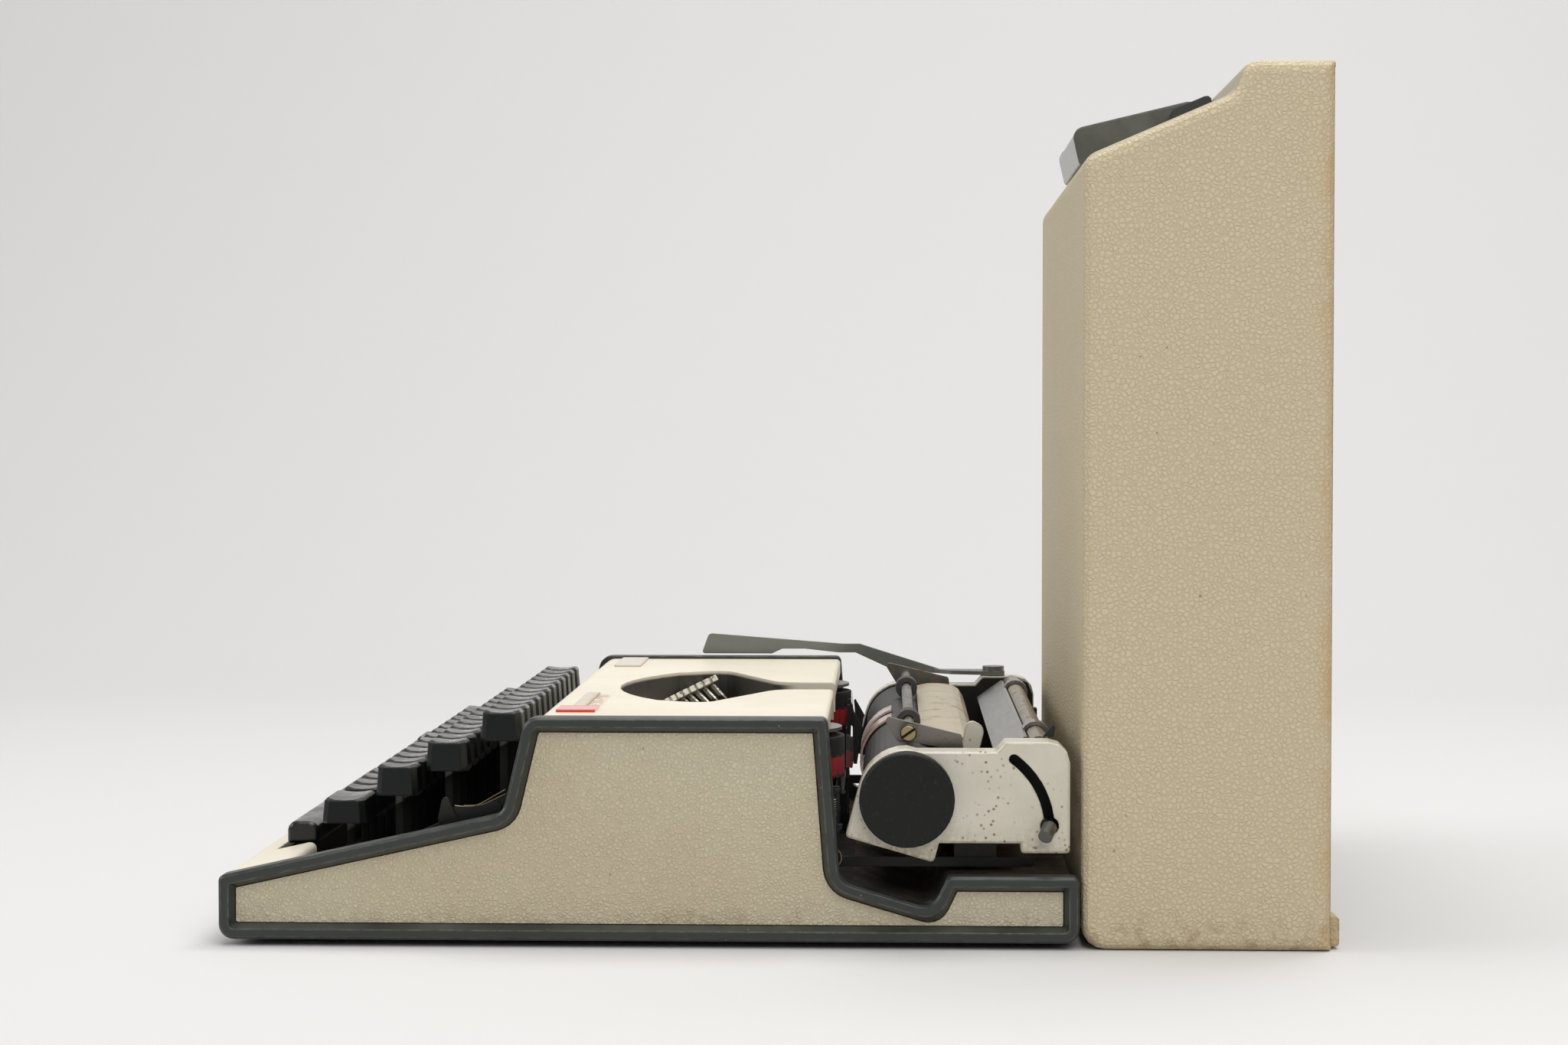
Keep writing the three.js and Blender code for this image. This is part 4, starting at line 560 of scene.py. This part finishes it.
# Bail screw: a slotted brass screw on a dark washer, which holds the paper bail's arm at its right end.
# The head is slightly domed. It is made here as two halves with the slot between them.
def disc(mesh, middle, radius, thick):
    """Adds a round plate lying across X, with its outer edge cut back."""
    sides, edge = 32, 0.3 * MM
    rings = []
    for reach, out in [(radius, 0.0), (radius, thick - edge), (radius - edge, thick)]:
        ring = []
        for step in range(sides):
            turn = 2 * math.pi * step / sides
            place = Vector((out, reach * math.cos(turn), reach * math.sin(turn)))
            ring.append(mesh.verts.new(middle + place))
        rings.append(ring)
    for low, high in zip(rings, rings[1:]):
        for step in range(sides):
            mesh.faces.new((low[step], low[step - 1], high[step - 1], high[step]))
    mesh.faces.new(rings[0])
    mesh.faces.new(list(reversed(rings[-1])))


def half_head(mesh, middle, radius, thick, turn_degrees, side):
    """Adds one half of a slotted head, its straight edge along the slot."""
    half_slot_share, round_share, steps = 0.15, 0.09, 12
    start = math.asin(half_slot_share)
    angle = math.radians(turn_degrees)
    places = []
    for step in range(steps + 1):
        turn = start + (math.pi - 2 * start) * step / steps
        along, across = radius * math.cos(turn), radius * math.sin(turn) * side
        y = along * math.cos(angle) - across * math.sin(angle)
        z = along * math.sin(angle) + across * math.cos(angle)
        places.append(Vector((0, y, z)))
    near = [mesh.verts.new(middle + place + Vector((thick, 0, 0))) for place in places]
    far = [mesh.verts.new(middle + place) for place in places]
    top = mesh.faces.new(near)
    mesh.faces.new(list(reversed(far)))
    for step in range(len(places)):
        mesh.faces.new((near[step - 1], far[step - 1], far[step], near[step]))
    dome = radius * round_share
    bmesh.ops.bevel(mesh, geom=list(top.edges), offset=dome, segments=3, profile=0.5, affect="EDGES")


brass = plated_steel("old_brass", (0.42, 0.34, 0.20), 0.34, 0.6)
dark_oxide = plated_steel("dark_oxide", (0.035, 0.028, 0.02), 0.5, 0.6)


def bail_screw():
    washer_place, head_place = spot(138, 256.8, 78.6), spot(138.45, 256.8, 78.6)
    washer_radius, washer_thick = 3.1 * MM, 0.5 * MM
    head_radius, head_thick, slot_degrees = 2.8 * MM, 0.75 * MM, 35
    mesh = bmesh.new()
    disc(mesh, washer_place, washer_radius, washer_thick)
    washer = finished(mesh, "bail_screw_washer", False)
    new_piece("bail_screw_washer", washer, "paper_bail", dark_oxide)
    mesh = bmesh.new()
    for side in (1, -1):
        half_head(mesh, head_place, head_radius, head_thick, slot_degrees, side)
    new_piece("bail_screw", finished(mesh, "bail_screw", False), "paper_bail", brass)


bail_screw()


# Hooked lever: a blackened steel finger with a flat arm beside the right shift key, both cut from thin
# plate with their edges broken. Two thin brass wires run back from it.
def flat_plate(mesh, x, thick, outline):
    """Adds a plate cut to an outline of places behind the front edge and above the table."""
    near = [mesh.verts.new(spot(x + thick, y, z)) for y, z in outline]
    far = [mesh.verts.new(spot(x, y, z)) for y, z in outline]
    faces = [mesh.faces.new(near), mesh.faces.new(list(reversed(far)))]
    for step in range(len(outline)):
        faces.append(mesh.faces.new((near[step - 1], far[step - 1], far[step], near[step])))
    edges = list({e for face in faces[:2] for e in face.edges})
    broken_edge = 0.15 * MM
    bmesh.ops.bevel(mesh, geom=edges, offset=broken_edge, segments=2, profile=0.5, affect="EDGES")


def wire(name, places, radius, finish):
    """A round wire on the machine that runs by the places, swept as a curve and turned into a mesh."""
    curve = bpy.data.curves.new(name, "CURVE")
    curve.dimensions, curve.bevel_depth, curve.bevel_resolution = "3D", radius, 2
    line = curve.splines.new("NURBS")
    line.points.add(len(places) - 1)
    for point, place in zip(line.points, places):
        point.co = (*place, 1.0)
    line.use_endpoint_u, line.order_u, line.resolution_u = True, 3, 3
    holder = bpy.data.objects.new(name, curve)
    mesh = bpy.data.meshes.new_from_object(holder)
    bpy.data.objects.remove(holder)
    for face in mesh.polygons:
        face.use_smooth = True
    new_piece(name, mesh, "machine", finish)


def plate_piece(name, mesh, body):
    new_piece(name, finished(mesh, name, False), body, worn_black)


worn_black = plated_steel("worn_black", (0.05, 0.052, 0.05), 0.34, 0.62)
spring_steel = plated_steel("spring_steel", (0.42, 0.40, 0.36), 0.3, 0.56)


def hook_lever():
    finger_across, finger_thick = 136.4, 1.0
    arm_across, arm_thick = 135.3, 0.8
    wire_across, wire_radius = 136.2, 0.18 * MM
    mesh = bmesh.new()
    flat_plate(mesh, finger_across, finger_thick, [
        (80.2, 42), (79.6, 46), (80.9, 52.2), (81.6, 53.6), (82.6, 53.9), (83.6, 53.2), (85, 49.6),
        (87.4, 44.4), (87.6, 42),
    ])
    flat_plate(mesh, arm_across, arm_thick, [
        (84.6, 49.2), (85.8, 50), (93.3, 49.9), (102, 52.2), (103.5, 50.5), (103.5, 42), (84.6, 42),
    ])
    plate_piece("hook_lever", mesh, "machine")
    for name, places in {
        "lever_wire_one": [(85.8, 50.5), (87, 50.1), (93.7, 50.1), (99, 53.2), (105, 56.6)],
        "lever_wire_two": [(89.3, 50.4), (96, 50.4), (100, 52.4), (105, 54.9)],
    }.items():
        wire(name, [spot(wire_across, y, z) for y, z in places], wire_radius, brass)


hook_lever()


# Spool post: a black steel strip behind the right spool, bent over at the top, with two small lugs. A coil
# spring of bright wire stands between the lugs, and a bent brass link hangs below.
def spool_post():
    strip_across, strip_thick = 137.2, 1.2
    lug_across, lug_thick = 138.6, 0.9
    low_lug = [(226.6, 40), (226.6, 44.5), (232.2, 44.5), (232.2, 42.8), (229, 40)]
    high_lug = [(226.6, 55), (226.6, 57.8), (231.4, 57.8), (231.4, 56.6), (228.6, 55)]
    coil_middle, coil_radius, coil_tall = (140.4, 228.8, 44.8), 1.3, 9.9
    coil_turns, steps_in_turn = 11, 8
    coil_wire, link_across, link_wire = 0.22 * MM, 139.6, 0.4 * MM
    mesh = bmesh.new()
    flat_plate(mesh, strip_across, strip_thick, [
        (226.9, 5.2), (226.9, 57.5), (228.2, 58.6), (231.2, 58.6), (231.2, 50), (229.6, 48), (229.6, 5.2),
    ])
    for outline in (low_lug, high_lug):
        flat_plate(mesh, lug_across, lug_thick, outline)
    plate_piece("spool_post", mesh, "machine")
    x, y, z = coil_middle
    coil = []
    for step in range(coil_turns * steps_in_turn + 1):
        turns = step / steps_in_turn
        turn = 2 * math.pi * turns
        rise = coil_tall * turns / coil_turns
        coil.append(spot(x + coil_radius * math.cos(turn), y + coil_radius * math.sin(turn), z + rise))
    wire("post_spring", coil, coil_wire, spring_steel)
    link = [(227.4, 38), (229, 35), (231.5, 34.2), (232, 30), (229, 27)]
    wire("post_link", [spot(link_across, y, z) for y, z in link], link_wire, brass)


spool_post()


# Ribbon guides and card brackets: thin steel, cut to shape and blackened. The guides stand on the vibrator
# and hold the ribbon, and the brackets carry the two card guides.
def ribbon_guides():
    out, thick = 12.8, 0.8
    for side, name in ((1, "right"), (-1, "left")):
        mesh = bmesh.new()
        flat_plate(mesh, side * out - thick / 2, thick, [
            (231.9, 60), (233.2, 60), (233.4, 70), (236.4, 66.4), (237.1, 67.2), (234.6, 73), (233.2, 78),
            (232.2, 78),
        ])
        plate_piece("ribbon_guide_" + name, mesh, "vibrator")


def card_brackets():
    out, thick = 29, 0.8
    for side, name in ((1, "right"), (-1, "left")):
        mesh = bmesh.new()
        flat_plate(mesh, side * out - thick / 2, thick, [
            (234.9, 55), (234.9, 70), (234.4, 76), (235.1, 76.6), (239.0, 69.6), (238.2, 67.5), (236.4, 55),
        ])
        plate_piece("card_bracket_" + name, mesh, "machine")


ribbon_guides()
card_brackets()


# Tube ear: a small ear of thin black steel plate that stands beside the right end of the rear tube. It is
# cut flat, with a rounded tip.
def tube_ear():
    across, thick = 138.5, 0.8
    outline = [(307.0, 77.6), (310.2, 81.5), (310.9, 81.9), (311.7, 81.3), (311.0, 77.6)]
    mesh = bmesh.new()
    flat_plate(mesh, across, thick, outline)
    plate_piece("tube_ear", mesh, "carriage")


tube_ear()


# Carriage end caps and release lever: off-white enamel over steel. Rust freckles come through, and the
# edges are chipped brown.
def cap_enamel():
    enamel = Finish("cap_enamel")
    haze = enamel.noise(26, 5, 0.6)
    edges = enamel.worn_edges(0.0014, 0.02, 0.3) * enamel.noise(150, 5, 0.75).ramp(0.42, 0.6)
    freckles = enamel.specks(420, 0.14, 0.3) * enamel.noise(45, 4, 0.7).ramp(0.46, 0.6)
    low = 1 - (enamel.z + enamel.noise(60, 3) * 0.014).ramp(0.040, 0.056)
    base = enamel.mix(haze.ramp(0.3, 0.7), (0.63, 0.60, 0.50), (0.54, 0.505, 0.405))
    grimy = enamel.mix(low * enamel.noise(500, 4, 0.7).ramp(0.3, 0.65) * 0.6, base, (0.28, 0.20, 0.11))
    chipped = enamel.mix(edges * 0.75, grimy, (0.20, 0.12, 0.06))
    enamel.set(
        base_color=enamel.mix(freckles * 0.85, chipped, (0.19, 0.08, 0.025)),
        roughness=0.34 + 0.3 * freckles + 0.15 * haze,
        coat_weight=0.2,
        coat_roughness=0.2,
    )
    enamel.relief(enamel.noise(700, 3) - freckles * 0.6, 0.00003, 0.0006)
    enamel.on("end_cap_right", "end_cap_left", "paper_release_lever")


cap_enamel()


# Card guides: two plates of clear plastic, yellowed and pink with age and ruled with fine upright lines.
# They stand on the brackets and hold paper against the platen.
def guide_plastic():
    guide = Finish("guide_plastic")
    lines_in_metre = 400
    lines = (guide.x * lines_in_metre).fraction().ramp(0.82, 0.9)
    guide.set(
        base_color=guide.mix(lines * 0.7, (0.62, 0.42, 0.36), (0.75, 0.70, 0.62)),
        roughness=0.14 + 0.1 * guide.noise(200, 3),
        alpha=0.72,
        coat_weight=0.4,
        coat_roughness=0.1,
    )
    guide.relief(guide.noise(150, 3), 0.0001)
    guide.on("card_guide_right", "card_guide_left")


guide_plastic()


# Ribbon: finely woven inked cloth in two colours, black above and red below. It runs from spool to spool
# in front of the platen, between the vibrator's guides.
def ribbon_cloth():
    cloth = Finish("ribbon_cloth")
    weave = cloth.noise(2600, 2)
    upper = cloth.node("Attribute", {"attribute_name": "across"}, output="Fac").ramp(0.49, 0.53)
    faded = cloth.noise(60, 4, 0.6).ramp(0.4, 0.7)
    black = cloth.mix(faded, (0.006, 0.006, 0.007), (0.022, 0.021, 0.022))
    red = cloth.mix(faded, (0.30, 0.008, 0.012), (0.42, 0.018, 0.020))
    cloth.set(base_color=cloth.mix(upper, red, black), roughness=0.72 + 0.2 * weave, sheen_weight=0.04)
    cloth.relief(weave, 0.00005)
    return cloth


def ribbon_band():
    """The span of cloth from spool to spool, dipping to the vibrator, slack enough to ripple."""
    columns, threads = 121, 13
    half_span, half_window = 98, 15
    window_behind, spool_behind = 234.4, 232.95
    window_low, climb, cloth_wide, cloth_thick = 52, 9, 13, 0.12 * MM
    soft_share, straight_share = 0.35, 0.65
    wave, crinkle, lift = 0.10, 0.05, 0.12
    mesh = bmesh.new()
    share = mesh.verts.layers.float.new("across")
    grid = []
    for column in range(columns):
        x = half_span * (2 * column / (columns - 1) - 1)
        slope = min(max((abs(x) - half_window) / (half_span - half_window), 0), 1)
        ease = slope * slope * (3 - 2 * slope) * soft_share + slope * straight_share
        slack = slope * (1 - slope) * 4
        row = []
        for thread in range(threads):
            up = thread / (threads - 1)
            ripple = wave * math.sin(x * 0.31 + 2.1 * up) * slack + crinkle * math.sin(x * 1.7 + 5 * up)
            y = window_behind + (spool_behind - window_behind) * ease + ripple
            z = window_low + climb * ease + cloth_wide * up + lift * math.sin(x * 0.4) * slack
            vertex = mesh.verts.new(spot(x, y, z))
            vertex[share] = up
            row.append(vertex)
        grid.append(row)
    for near, far in zip(grid, grid[1:]):
        for thread in range(threads - 1):
            mesh.faces.new((near[thread], far[thread], far[thread + 1], near[thread + 1]))
    bmesh.ops.solidify(mesh, geom=mesh.faces[:], thickness=cloth_thick)
    return finished(mesh, "ribbon_band")


ribbon_finish = ribbon_cloth()
band = new_piece("ribbon_band", ribbon_band(), "machine", ribbon_finish)
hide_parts("ribbon")


# Spools: thin plated steel flanges riveted on a short core, with the cloth wound round it in hundreds of
# turns. The edges of the turns stand a little uneven, which shows as fine rings.
def spool_pack():
    pack = Finish("spool_pack")
    foot_top, middle, top = (spot(0, 0, height).z for height in (60.6, 67.4, 74))
    turns = pack.noise(3000, 2, 0.6, (1, 1, 0.05))
    split = (pack.z - middle + (pack.noise(200, 2) - 0.5) * 0.0006).ramp(-0.0003, 0.0003)
    cloth = pack.mix(split, (0.33, 0.010, 0.014), (0.010, 0.010, 0.011))
    flange = (pack.z - top).ramp(0.0009, 0.0012)
    foot = 1 - (pack.z - foot_top).ramp(-0.0002, 0.0002)
    metal = flange.most(foot)
    pack.set(
        base_color=pack.mix(metal, cloth, (0.30, 0.29, 0.27)),
        metallic=metal * 0.9,
        roughness=0.72 - 0.35 * metal + 0.1 * turns,
    )
    pack.relief(turns * (1 - metal) + pack.noise(400, 3) * 0.2, 0.00008)
    pack.on("ribbon_spool_right", "ribbon_spool_left")


def wound_turns(side):
    """The wound cloth of one spool, turned round its axis from a profile of radius and height."""
    seed, sides, steps = 40, 72, 12
    spool_across, spool_behind = side * 100, 209
    core_radius, pack_radius, pack_low, pack_tall = 5.2, 23.3, 58.6, 15.4
    turn_thick, top_turn_low, last_turn = 0.32, 74.08, 5.6
    side_rough, top_rough = 0.12, 0.28
    chance = random.Random(seed + side)
    profile = [(core_radius, pack_low - 0.05)]
    for step in range(steps + 1):
        profile.append((pack_radius + side_rough * chance.random(), pack_low + pack_tall * step / steps))
    reach = pack_radius
    while reach > last_turn:
        profile.append((reach, top_turn_low + top_rough * chance.random()))
        reach -= turn_thick
    mesh = bmesh.new()
    share = mesh.verts.layers.float.new("across")
    rings = []
    for radius, height in profile:
        ring = []
        for step in range(sides):
            turn = 2 * math.pi * step / sides
            across, behind = radius * math.cos(turn), radius * math.sin(turn)
            vertex = mesh.verts.new(spot(spool_across + across, spool_behind + behind, height))
            vertex[share] = (height - pack_low) / pack_tall
            ring.append(vertex)
        rings.append(ring)
    for low, high in zip(rings, rings[1:]):
        for step in range(sides):
            mesh.faces.new((low[step - 1], low[step], high[step], high[step - 1]))
    return finished(mesh, "ribbon_turns")


spool_pack()
for side, body in ((1, "spool_right"), (-1, "spool_left")):
    new_piece("ribbon_turns_" + body, wound_turns(side), body, ribbon_finish)


# Case lid: a deep shell in coarse pebble-grained vinyl over board, stained yellow at the corners and the
# rim by glue and handling. It stands on its rear edge, and its inside is bare board.
def lid_skin():
    skin, grain, colour = grained_vinyl(
        "lid_skin", (0.585, 0.50, 0.34), (0.51, 0.43, 0.28), 540, (0.52, 0.41, 0.22), (0.26, 0.15, 0.06)
    )
    low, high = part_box("case_lid")
    slope_foot, slope_rise = 292.4 * MM, 0.4257
    strap_half, strap_near, strap_far = 58.3 * MM, 36 * MM, 57.2 * MM
    wall, rim_wide, stain_wide = 2.15 * MM, 3.5 * MM, 12 * MM
    behind = skin.y - low.y
    rim = (skin.y - high.y + stain_wide).ramp(0.0, 0.009) * skin.noise(50, 4, 0.7).ramp(0.35, 0.65)
    corner = skin.worn_edges(0.004, 0.01, 0.3) * skin.noise(35, 4, 0.7).ramp(0.35, 0.6)
    stained = skin.mix((rim * 0.55).most(corner * 0.5), colour, (0.52, 0.28, 0.09))
    over_slope = skin.z - (low.z + slope_foot + behind * slope_rise)
    strap = over_slope.ramp(0.0006, 0.0008) * (1 - (skin.x.size() - strap_half).ramp(0.0, 0.0002))
    strap = strap * (behind - strap_near).ramp(0.0, 0.0005) * (1 - (behind - strap_far).ramp(0.0, 0.0004))
    depth_in = (high.x - skin.x.size()).least(skin.z).least(behind).least(high.z - skin.z)
    inside = (depth_in - wall).ramp(0.0, 0.00015) * (1 - (skin.y - high.y + rim_wide).ramp(0.0, 0.0002))
    board = skin.mix(skin.noise(180, 5, 0.7), (0.36, 0.32, 0.24), (0.46, 0.42, 0.33))
    covered = skin.mix(strap, skin.mix(inside, stained, board), (0.035, 0.038, 0.034))
    skin.set(base_color=covered, roughness=0.55 + 0.3 * inside - 0.25 * strap, specular_ior_level=0.35)
    skin.relief(grain * (1 - inside.most(strap)), 0.0003, 0.001)
    skin.on("case_lid")


# Lid handle: a bow of dark olive moulded plastic with a raised rim, glossy from carrying. It swings on two
# pins in a black bracket riveted to the lid.
def handle_plastic():
    bow = Finish("handle_plastic")
    worn = bow.worn_edges(0.0012, 0.02, 0.3) * bow.noise(200, 4, 0.7).ramp(0.35, 0.6)
    cloud = bow.noise(50, 5, 0.6)
    base = bow.mix(cloud.ramp(0.3, 0.7), (0.050, 0.054, 0.042), (0.095, 0.097, 0.078))
    bow.set(
        base_color=bow.mix(worn * 0.5, base, (0.36, 0.35, 0.29)),
        roughness=0.26 + 0.16 * cloud,
        coat_weight=0.5,
        coat_roughness=0.14,
    )
    bow.relief(bow.noise(1500, 3), 0.00002, 0.0012)
    bow.on("lid_handle")


lid_skin()
handle_plastic()


# Studio: a seamless sweep of pale paper under and behind the typewriter, with soft lights as large square
# panels: the key light at its right, one overhead, one before the keys and one on the paper behind.
def studio():
    paper = Finish("sweep_paper")
    paper.set(base_color=(0.66, 0.65, 0.64), roughness=0.85)
    reach, bend_start, bend, steps = 6, -0.9, 0.9, 12
    rows = [(reach, 0), (2, 0), (bend_start, 0)]
    for step in range(1, steps + 1):
        turn = math.radians(90 * step / steps)
        rows.append((bend_start - bend * math.sin(turn), bend - bend * math.cos(turn)))
    rows.append((bend_start - bend, reach))
    mesh = bmesh.new()
    edges = [[mesh.verts.new((x, y, z)) for y in (-reach, reach)] for x, z in rows]
    for near, far in zip(edges, edges[1:]):
        mesh.faces.new((near[0], near[1], far[1], far[0]))
    sweep = bpy.data.objects.new("sweep", finished(mesh, "sweep"))
    sweep.data.materials.append(paper.material)
    bpy.context.scene.collection.objects.link(sweep)


def soft_light(name, place, target, size, power):
    lamp = bpy.data.lights.new(name, "AREA")
    lamp.shape = "SQUARE"
    lamp.size = size
    lamp.energy = power
    holder = bpy.data.objects.new(name, lamp)
    holder.location = place
    holder.rotation_euler = (Vector(target) - Vector(place)).to_track_quat("-Z", "Y").to_euler()
    bpy.context.scene.collection.objects.link(holder)


studio()
soft_light("key_light", (1.7, 0.5, 1.5), (0, 0, 0.1), 1.6, 24)
soft_light("top_light", (-0.05, 0.15, 2.0), (0, 0, 0), 1.5, 27)
soft_light("front_light", (0.3, -2.2, 1.3), (0, 0, 0.15), 1.4, 17)
soft_light("wall_light", (-0.7, 0.9, 2.2), (-1.8, 0.5, 0.7), 1.0, 13)
world = bpy.data.worlds.new("studio_air")
world.use_nodes = True
air = world.node_tree.nodes["Background"]
air.inputs["Color"].default_value = (0.93, 0.925, 0.92, 1.0)
air.inputs["Strength"].default_value = 0.26
bpy.context.scene.world = world
bpy.context.scene.view_settings.view_transform = "Standard"


# Camera: a long lens at the typist's right, a little higher than the machine, looking across it and
# slightly down. Its place was solved from the keys, the carriage and the square side outlines.
def camera():
    frame_wide, focal_length, film_wide = 2048, 4015.2, 36
    place = spot(1287.303, 250.205, 193.854)
    yaw, pitch = -0.0348, 0.0316
    lens = bpy.data.cameras.new("camera")
    lens.sensor_width = film_wide
    lens.lens = film_wide * focal_length / frame_wide
    holder = bpy.data.objects.new("camera", lens)
    bpy.context.scene.collection.objects.link(holder)
    look = Vector((-math.cos(yaw) * math.cos(pitch), math.sin(yaw) * math.cos(pitch), -math.sin(pitch)))
    right = look.cross(Vector((0, 0, 1))).normalized()
    up = right.cross(look)
    turn = Matrix((right, up, -look)).transposed()
    holder.matrix_world = Matrix.Translation(place) @ turn.to_4x4()
    bpy.context.scene.camera = holder


camera()
